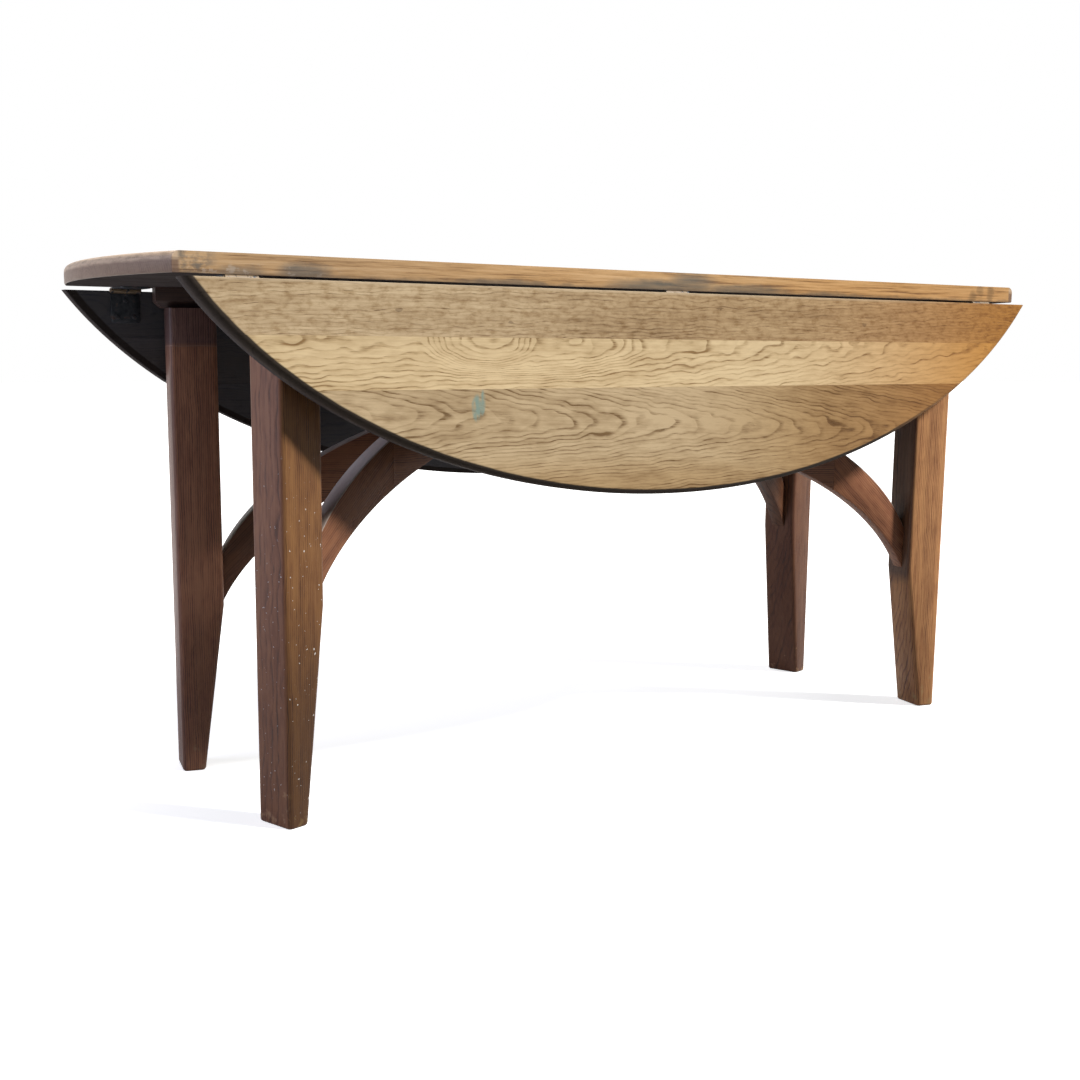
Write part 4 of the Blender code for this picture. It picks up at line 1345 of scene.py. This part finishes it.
def arch_bar(name, start_u, end_u, apex):
    """A bar along the arch between two upright planes."""
    spring = Vector((0, -ARCH_HALF_THICKNESS, apex - ARCH_RISE))
    bpy.ops.mesh.primitive_circle_add(vertices=ARCH_SIDES, radius=1.0, fill_type="NOTHING",
                                      location=spring, rotation=(QUARTER, 0, 0))
    bar = bpy.context.object
    bar.name = name
    bar.scale = (ARCH_HALF_SPAN, ARCH_RISE, 1)
    shape(settle(bar))
    for point, normal in ((spring, (0, 0, -1)), ((start_u, 0, 0), (-1, 0, 0)), ((end_u, 0, 0), (1, 0, 0))):
        bpy.ops.mesh.select_all(action="SELECT")
        bpy.ops.mesh.bisect(plane_co=point, plane_no=normal, clear_outer=True)
    for move in ((0, 0, ARCH_DEPTH), (0, 2 * ARCH_HALF_THICKNESS, 0)):
        bpy.ops.mesh.select_all(action="SELECT")
        bpy.ops.mesh.extrude_region_move(TRANSFORM_OT_translate={"value": move})
    round_edges(lambda points: points[0].y * points[1].y > 0 and abs(points[0].x - points[1].x) > NEAR,
                ARCH_ARRIS, ARCH_ARRIS_STEPS)
    close()
    return bar


braces = {}
for frame_name, apex in ARCH_APEX.items():
    brace = arch_bar(frame_name + " brace", BRACE_LOW.x, LEG_INNER - PLAY, apex)
    braces[frame_name] = join(brace, tenon(apex, 0.0), "UNION")
for corner, azimuth in AZIMUTHS.items():
    node = corner + "_brace"
    brace = copy_of(braces[FRAME_OF[corner]], node + "_wood")
    stand_for(turn(brace, azimuth, "Z"), node, brace_finishes[corner])
discard(*braces.values())

# %% [markdown]
# Where the frames cross, the bars are notched into each other. The rails give up half of their depth each,
# so that both lie flat under the top. The arches, of which one lies higher, need only a shallow notch. A
# bolt goes down through each crossing.

# %% Lap the centre arches and the rails
BOLT_HOLE_RADIUS = 0.0053
BOLT_SIDES = 24
LAP_PLAY = 0.001
RAIL_CHAMFER = 0.009
RAIL_ARRIS = 0.0012
RAIL_ARRIS_STEPS = 2


def lap(bar, half_thickness, low_z, high_z, keep_upper):
    """Cut a bar away above or below the middle of a crossing, and bore it for the bolt."""
    crossing = 2 * SPLAY
    half = half_thickness * (1 / math.sin(crossing) + 1 / math.tan(crossing)) + LAP_PLAY
    middle = (low_z + high_z) / 2
    wide = 2 * half_thickness
    if keep_upper:
        notch = block("notch", (-half, -wide, low_z - wide), (half, wide, middle + PLAY / 2))
    else:
        notch = block("notch", (-half, -wide, middle - PLAY / 2), (half, wide, high_z + wide))
    join(bar, notch, "DIFFERENCE")
    bore = peg("bore", BOLT_HOLE_RADIUS, (0, 0, low_z - wide), (0, 0, high_z + wide), BOLT_SIDES)
    return join(bar, bore, "DIFFERENCE")


def rail_bar(name):
    """A rail with its lower edges planed off, so that it slides under a leaf."""
    bar = block(name, RAIL_LOW, RAIL_HIGH)
    shape(bar)
    round_edges(level(2, RAIL_LOW.z), RAIL_CHAMFER, 1)
    round_edges(lambda points: max(point.z for point in points) < RAIL_HIGH.z - NEAR,
                RAIL_ARRIS, RAIL_ARRIS_STEPS)
    close()
    return bar


for frame_name, azimuth, keep_upper in (("upper", SPLAY, True), ("lower", -SPLAY, False)):
    node = frame_name + "_centre_arch"
    arch = arch_bar(node + "_wood", -ARCH_HIGH.x, ARCH_HIGH.x, ARCH_APEX[frame_name])
    lap(arch, ARCH_HALF_THICKNESS, ARCH_APEX["lower"], ARCH_APEX["upper"] + ARCH_DEPTH, keep_upper)
    stand_for(turn(arch, azimuth, "Z"), node, arch_finishes[frame_name])
    node = frame_name + "_rail"
    rail = rail_bar(node + "_wood")
    lap(rail, RAIL_HIGH.y, RAIL_LOW.z, RAIL_HIGH.z, keep_upper)
    stand_for(turn(rail, azimuth, "Z"), node, rail_finishes[frame_name])

# %% [markdown]
# ## The hinges
# A backflap hinge is two square steel plates that are rolled round one pin. The flap under the top has the
# two outer knuckles and the leaf's flap has the middle one. Each plate is sunk for the heads of three
# screws. One flap of each kind is modelled with the pin on the X axis, where it is easy to measure.

# %% The flaps of one hinge
FLAP_LOW, FLAP_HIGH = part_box("back_middle_hinge_top_flap")
HINGE_WIDTH = FLAP_HIGH.x - FLAP_LOW.x
FLAP_LENGTH = PIN_Y - FLAP_LOW.y
FLAP_THICKNESS = 0.0022
KNUCKLE_PLAY = 0.0004
KNUCKLE_SIDES = 32
KNUCKLE_PITCH = HINGE_WIDTH / 3
NECK_REACH = KNUCKLE_RADIUS + 4 * KNUCKLE_PLAY
PIN_RADIUS = 0.0016
CORNER_ROUND = 0.004
CORNER_ROUND_STEPS = 5
PLATE_ARRIS = 0.0003
PLATE_ARRIS_STEPS = 2
SCREW_RADIUS = 0.0038
SCREW_INSET = 0.009
SCREW_PLACES = [(-HINGE_WIDTH / 2 + SCREW_INSET, FLAP_LENGTH - SCREW_INSET),
                (HINGE_WIDTH / 2 - SCREW_INSET, FLAP_LENGTH - SCREW_INSET),
                (0.0, KNUCKLE_RADIUS + KNUCKLE_PLAY + SCREW_INSET)]


def flap(name, outward, knuckles):
    """A plate with its knuckles and screw holes, flat under the wood."""
    half = HINGE_WIDTH / 2
    top = KNUCKLE_RADIUS
    low = top - FLAP_THICKNESS
    root, far = outward * (KNUCKLE_RADIUS + KNUCKLE_PLAY), outward * FLAP_LENGTH
    plate = block(name, (-half, min(root, far), low), (half, max(root, far), top))
    shape(plate)
    round_edges(lambda points: level(1, far)(points) and abs(points[0].z - points[1].z) > NEAR,
                CORNER_ROUND, CORNER_ROUND_STEPS)
    round_edges(level(2, low), PLATE_ARRIS, PLATE_ARRIS_STEPS)
    close()
    neck = outward * NECK_REACH
    for index in knuckles:
        start = -half + index * KNUCKLE_PITCH + KNUCKLE_PLAY / 2
        end = start + KNUCKLE_PITCH - KNUCKLE_PLAY
        join(plate, block("neck", (start, min(0, neck), low), (end, max(0, neck), top)), "UNION")
        join(plate, peg("knuckle", KNUCKLE_RADIUS, (start, 0, 0), (end, 0, 0), KNUCKLE_SIDES), "UNION")
        bore = peg("bore", PIN_RADIUS + PLAY, (start - HINGE_WIDTH, 0, 0), (end + HINGE_WIDTH, 0, 0),
                   KNUCKLE_SIDES)
        join(plate, bore, "DIFFERENCE")
    for x, y in SCREW_PLACES:
        hole = peg("hole", SCREW_RADIUS + PLAY / 2, (x, outward * y, low - top),
                   (x, outward * y, low + FLAP_THICKNESS / 2), KNUCKLE_SIDES)
        join(plate, hole, "DIFFERENCE")
    return plate


top_flap = flap("top flap", -1, (0, 2))
leaf_flap = flap("leaf flap", 1, (1,))
print("faces of the flaps:", len(top_flap.data.polygons), len(leaf_flap.data.polygons))

# %% [markdown]
# The pin has a small head at both ends, which keeps it in the knuckles. A screw shows only its head, so
# that is all that is made of it: a short cylinder with a rounded rim and a slot.

# %% One pin and one screw
PIN_HEAD = 0.0008
PIN_HALF = HINGE_WIDTH / 2 + KNUCKLE_PLAY
SCREW_RISE = 0.0004
SCREW_RISE_STEPS = 2
SLOT_HALF_WIDTH = 0.0005
SLOT_HALF_LENGTH = 2 * SCREW_RADIUS

pin = peg("pin", PIN_RADIUS, (-PIN_HALF, 0, 0), (PIN_HALF, 0, 0), KNUCKLE_SIDES)
for end in (-1, 1):
    head = peg("head", PIN_RADIUS + PIN_HEAD, (end * PIN_HALF, 0, 0), (end * (PIN_HALF + PIN_HEAD), 0, 0),
               KNUCKLE_SIDES)
    join(pin, head, "UNION")

screw = peg("screw", SCREW_RADIUS, (0, 0, -SCREW_RISE), (0, 0, FLAP_THICKNESS / 2), KNUCKLE_SIDES)
shape(screw)
round_edges(level(2, -SCREW_RISE), SCREW_RISE, SCREW_RISE_STEPS)
close()
slot = block("slot", (-SLOT_HALF_LENGTH, -SLOT_HALF_WIDTH, -SCREW_RADIUS),
             (SLOT_HALF_LENGTH, SLOT_HALF_WIDTH, SCREW_RISE))
join(screw, slot, "DIFFERENCE")
print("faces of the pin and the screw:", len(pin.data.polygons), len(screw.data.polygons))

# %% [markdown]
# The flaps and the pin are copied to the six places. An array could repeat them in one object, but a
# leaf's flap has to swing with its leaf, so each is a piece of its own. So are the three screws on each
# flap, with their slots left at different angles. A hinge on the front leaf is one on the back leaf,
# turned half round, so its row of places runs the other way. The flaps' solids also hold the shanks of
# their screws, so their boxes reach some 16 mm further into the wood than the pieces made here.


# %% Six hinges and their screws
def put(obj, matrix):
    """Move an object by a matrix."""
    obj.matrix_world = matrix
    return settle(obj)


SLOT_TURN = math.radians(67)
HINGE_ROWS = {"front": (math.pi, ("right", "middle", "left")), "back": (0.0, ("left", "middle", "right"))}
screw_count = 0
for side, (half_turn, names) in HINGE_ROWS.items():
    line = Matrix.Translation(PIVOTS[side + "_leaf"]) @ Matrix.Rotation(half_turn, 4, "Z")
    hanging = line @ Matrix.Rotation(-QUARTER, 4, "X")
    flaps = (("top_flap", top_flap, line, -1), ("leaf_flap", leaf_flap, hanging, 1))
    for name, x in zip(names, (-HINGE_X, 0.0, HINGE_X)):
        along = Matrix.Translation((x, 0, 0))
        hinge = side + "_" + name + "_hinge_"
        stand_for(put(copy_of(pin, hinge + "pin_steel"), line @ along), hinge + "pin", hinge_steel)
        for part, pattern, base, outward in flaps:
            node = hinge + part
            stand_for(put(copy_of(pattern, node + "_steel"), base @ along), node, hinge_steel)
            for number, (across, out) in enumerate(SCREW_PLACES):
                place = Matrix.Translation((across, outward * out, KNUCKLE_RADIUS - FLAP_THICKNESS))
                slot_turn = Matrix.Rotation(SLOT_TURN * screw_count, 4, "Z")
                piece = copy_of(screw, node + "_screw_" + str(number + 1))
                dress(put(piece, base @ along @ place @ slot_turn), screw_steel)
                belong(piece, node)
                screw_count += 1
discard(top_flap, leaf_flap, pin, screw)
print("hinge screws:", screw_count)

# %% [markdown]
# ## The pivots and the dowels
# The pivots on the centre line are ordinary hexagon bolts with washers. Their solids already have the
# right shape, so they stay, and only get their finish and smooth shading. The dowels sit inside the
# joints and stay as they are, in plain oak.

# %% Finish the pivots and the dowels
kept = {}
for node in frame["nodes"]:
    if SLOT_OF[node] == "bolt_steel":
        kept[node] = bolt_steel
    elif node.endswith("_dowel"):
        kept[node] = top_finishes["centre"]
for node, finish in kept.items():
    dress(frame["nodes"][node], finish)
print("solids that stay:", len(kept))

# %% [markdown]
# ## Light, floor and camera
# The photograph was taken from the left, a little below the level of the top. The camera's place,
# direction, lens and shift were found by laying the edges of the table over those in the photograph.

# %% The camera
CAMERA_PLACE = Vector((-1.4112, -1.8439, 0.6177))
CAMERA_YAW = math.radians(33.458)
CAMERA_PITCH = math.radians(-9.334)
CAMERA_ROLL = math.radians(0.180)
CAMERA_LENS = 47.54
CAMERA_SHIFT = (0.04691, 0.04688)

camera_data = bpy.data.cameras.new("camera")
camera = bpy.data.objects.new("camera", camera_data)
bpy.context.scene.collection.objects.link(camera)
camera_data.lens = CAMERA_LENS
camera_data.shift_x, camera_data.shift_y = CAMERA_SHIFT
heading = Matrix.Rotation(-CAMERA_YAW, 4, "Z") @ Matrix.Rotation(QUARTER + CAMERA_PITCH, 4, "X")
camera.matrix_world = Matrix.Translation(CAMERA_PLACE) @ heading @ Matrix.Rotation(CAMERA_ROLL, 4, "Z")
bpy.context.scene.camera = camera
print("camera:", round(CAMERA_PLACE.xy.length, 2), "m from the middle, lens", CAMERA_LENS, "mm")

# %% [markdown]
# A sun lamp with a soft edge shines from high on the right in front of the table: it lights the leaf and
# throws the leaf's shadow slantwise over the front left leg. A large cool lamp on the left gives the legs
# their sheen, and a faint one behind keeps the back from going black. A picture of a room could light the
# table too, but three lamps are easier to move until the shadows fall right.


# %% Lamps
def lamp(name, kind, azimuth, elevation, distance, power, colour):
    """A lamp that looks at the table. Azimuth 0 is the front, and it grows towards the right."""
    data = bpy.data.lights.new(name, kind)
    data.energy = power
    data.color = colour
    obj = bpy.data.objects.new(name, data)
    bpy.context.scene.collection.objects.link(obj)
    turn_to = math.radians(azimuth)
    lift = math.radians(elevation)
    aim = Vector((0, 0, TOP_Z / 2))
    towards = Vector((math.sin(turn_to) * math.cos(lift), -math.cos(turn_to) * math.cos(lift),
                      math.sin(lift)))
    obj.location = aim + distance * towards
    obj.rotation_euler = towards.to_track_quat("Z", "Y").to_euler()
    return data


KEY_ANGLE = math.radians(7)
LAMP_SIZE = 3.0
key = lamp("key lamp", "SUN", azimuth=42, elevation=44, distance=6.0, power=5.0, colour=(1.0, 0.97, 0.93))
left = lamp("left lamp", "AREA", azimuth=-105, elevation=16, distance=5.0, power=135.0,
            colour=(0.76, 0.78, 1.0))
back = lamp("back lamp", "AREA", azimuth=165, elevation=55, distance=6.0, power=90.0,
            colour=(1.0, 0.98, 0.95))
key.angle = KEY_ANGLE
left.size = back.size = LAMP_SIZE
print("lamps:", ", ".join(light.name for light in (key, left, back)))

# %% [markdown]
# The background and the floor are one white sweep. So much white would also light the table from all sides
# and take away its shadows. So both are white only to rays that show them, in the camera or in a shiny or
# clear surface, and are dark to rays that only carry light.

# %% The background
SEEN_RAYS = ("Is Camera Ray", "Is Glossy Ray", "Is Transmission Ray")
SKY_LIGHT = (0.55, 0.78, 1.0)
SKY_LIGHT_STRENGTH = 0.03
WHITE = (1.0, 1.0, 1.0)


def seen_rays(graph):
    """1 for a ray that shows what it meets, and the kinds of ray one by one."""
    rays = graph.tree.nodes.new("ShaderNodeLightPath").outputs
    return graph.either(*(rays[kind] for kind in SEEN_RAYS)), rays


world = bpy.data.worlds.new("studio")
bpy.context.scene.world = world
world.use_nodes = True
background = world.node_tree.nodes["Background"].inputs
graph = Graph(world.node_tree)
seen, rays = seen_rays(graph)
graph.feed(background["Color"], graph.mix(seen, SKY_LIGHT, WHITE))
strength = graph.total(SKY_LIGHT_STRENGTH, graph.times(seen, 1 - SKY_LIGHT_STRENGTH))
graph.feed(background["Strength"], strength)
print("background:", len(world.node_tree.nodes), "nodes")

# %% [markdown]
# The floor is a plain plane. To the camera it also glows, so that it is white like the paper that the
# photograph was cut out on, and only the table's soft shadow stays.

# %% The floor
FLOOR_SIZE = 60.0
FLOOR_LIGHT = (0.12, 0.115, 0.11)
FLOOR_SEEN = (0.85, 0.85, 0.85)
FLOOR_GLOW = 0.28
FLOOR_CAMERA_GLOW = 0.44
FLOOR_ROUGHNESS = 0.9

bpy.ops.mesh.primitive_plane_add(size=FLOOR_SIZE)
floor = bpy.context.object
floor.name = "floor"
material = bpy.data.materials.new("white_floor")
material.use_nodes = True
graph = Graph(material.node_tree)
shader = material.node_tree.nodes["Principled BSDF"]
seen, rays = seen_rays(graph)
lay_on(graph, shader, graph.mix(seen, FLOOR_LIGHT, FLOOR_SEEN), FLOOR_ROUGHNESS, NO_GLOSS)
graph.feed(shader.inputs["Emission Color"], WHITE)
glow = graph.total(graph.times(seen, FLOOR_GLOW), graph.times(rays["Is Camera Ray"], FLOOR_CAMERA_GLOW))
graph.feed(shader.inputs["Emission Strength"], glow)
floor.data.materials.append(material)
print("floor:", FLOOR_SIZE, "m wide")

# %% [markdown]
# ## The colour view
# The colours are shown as they are, without a film look.

# %% The colour view
bpy.context.scene.view_settings.view_transform = "Standard"
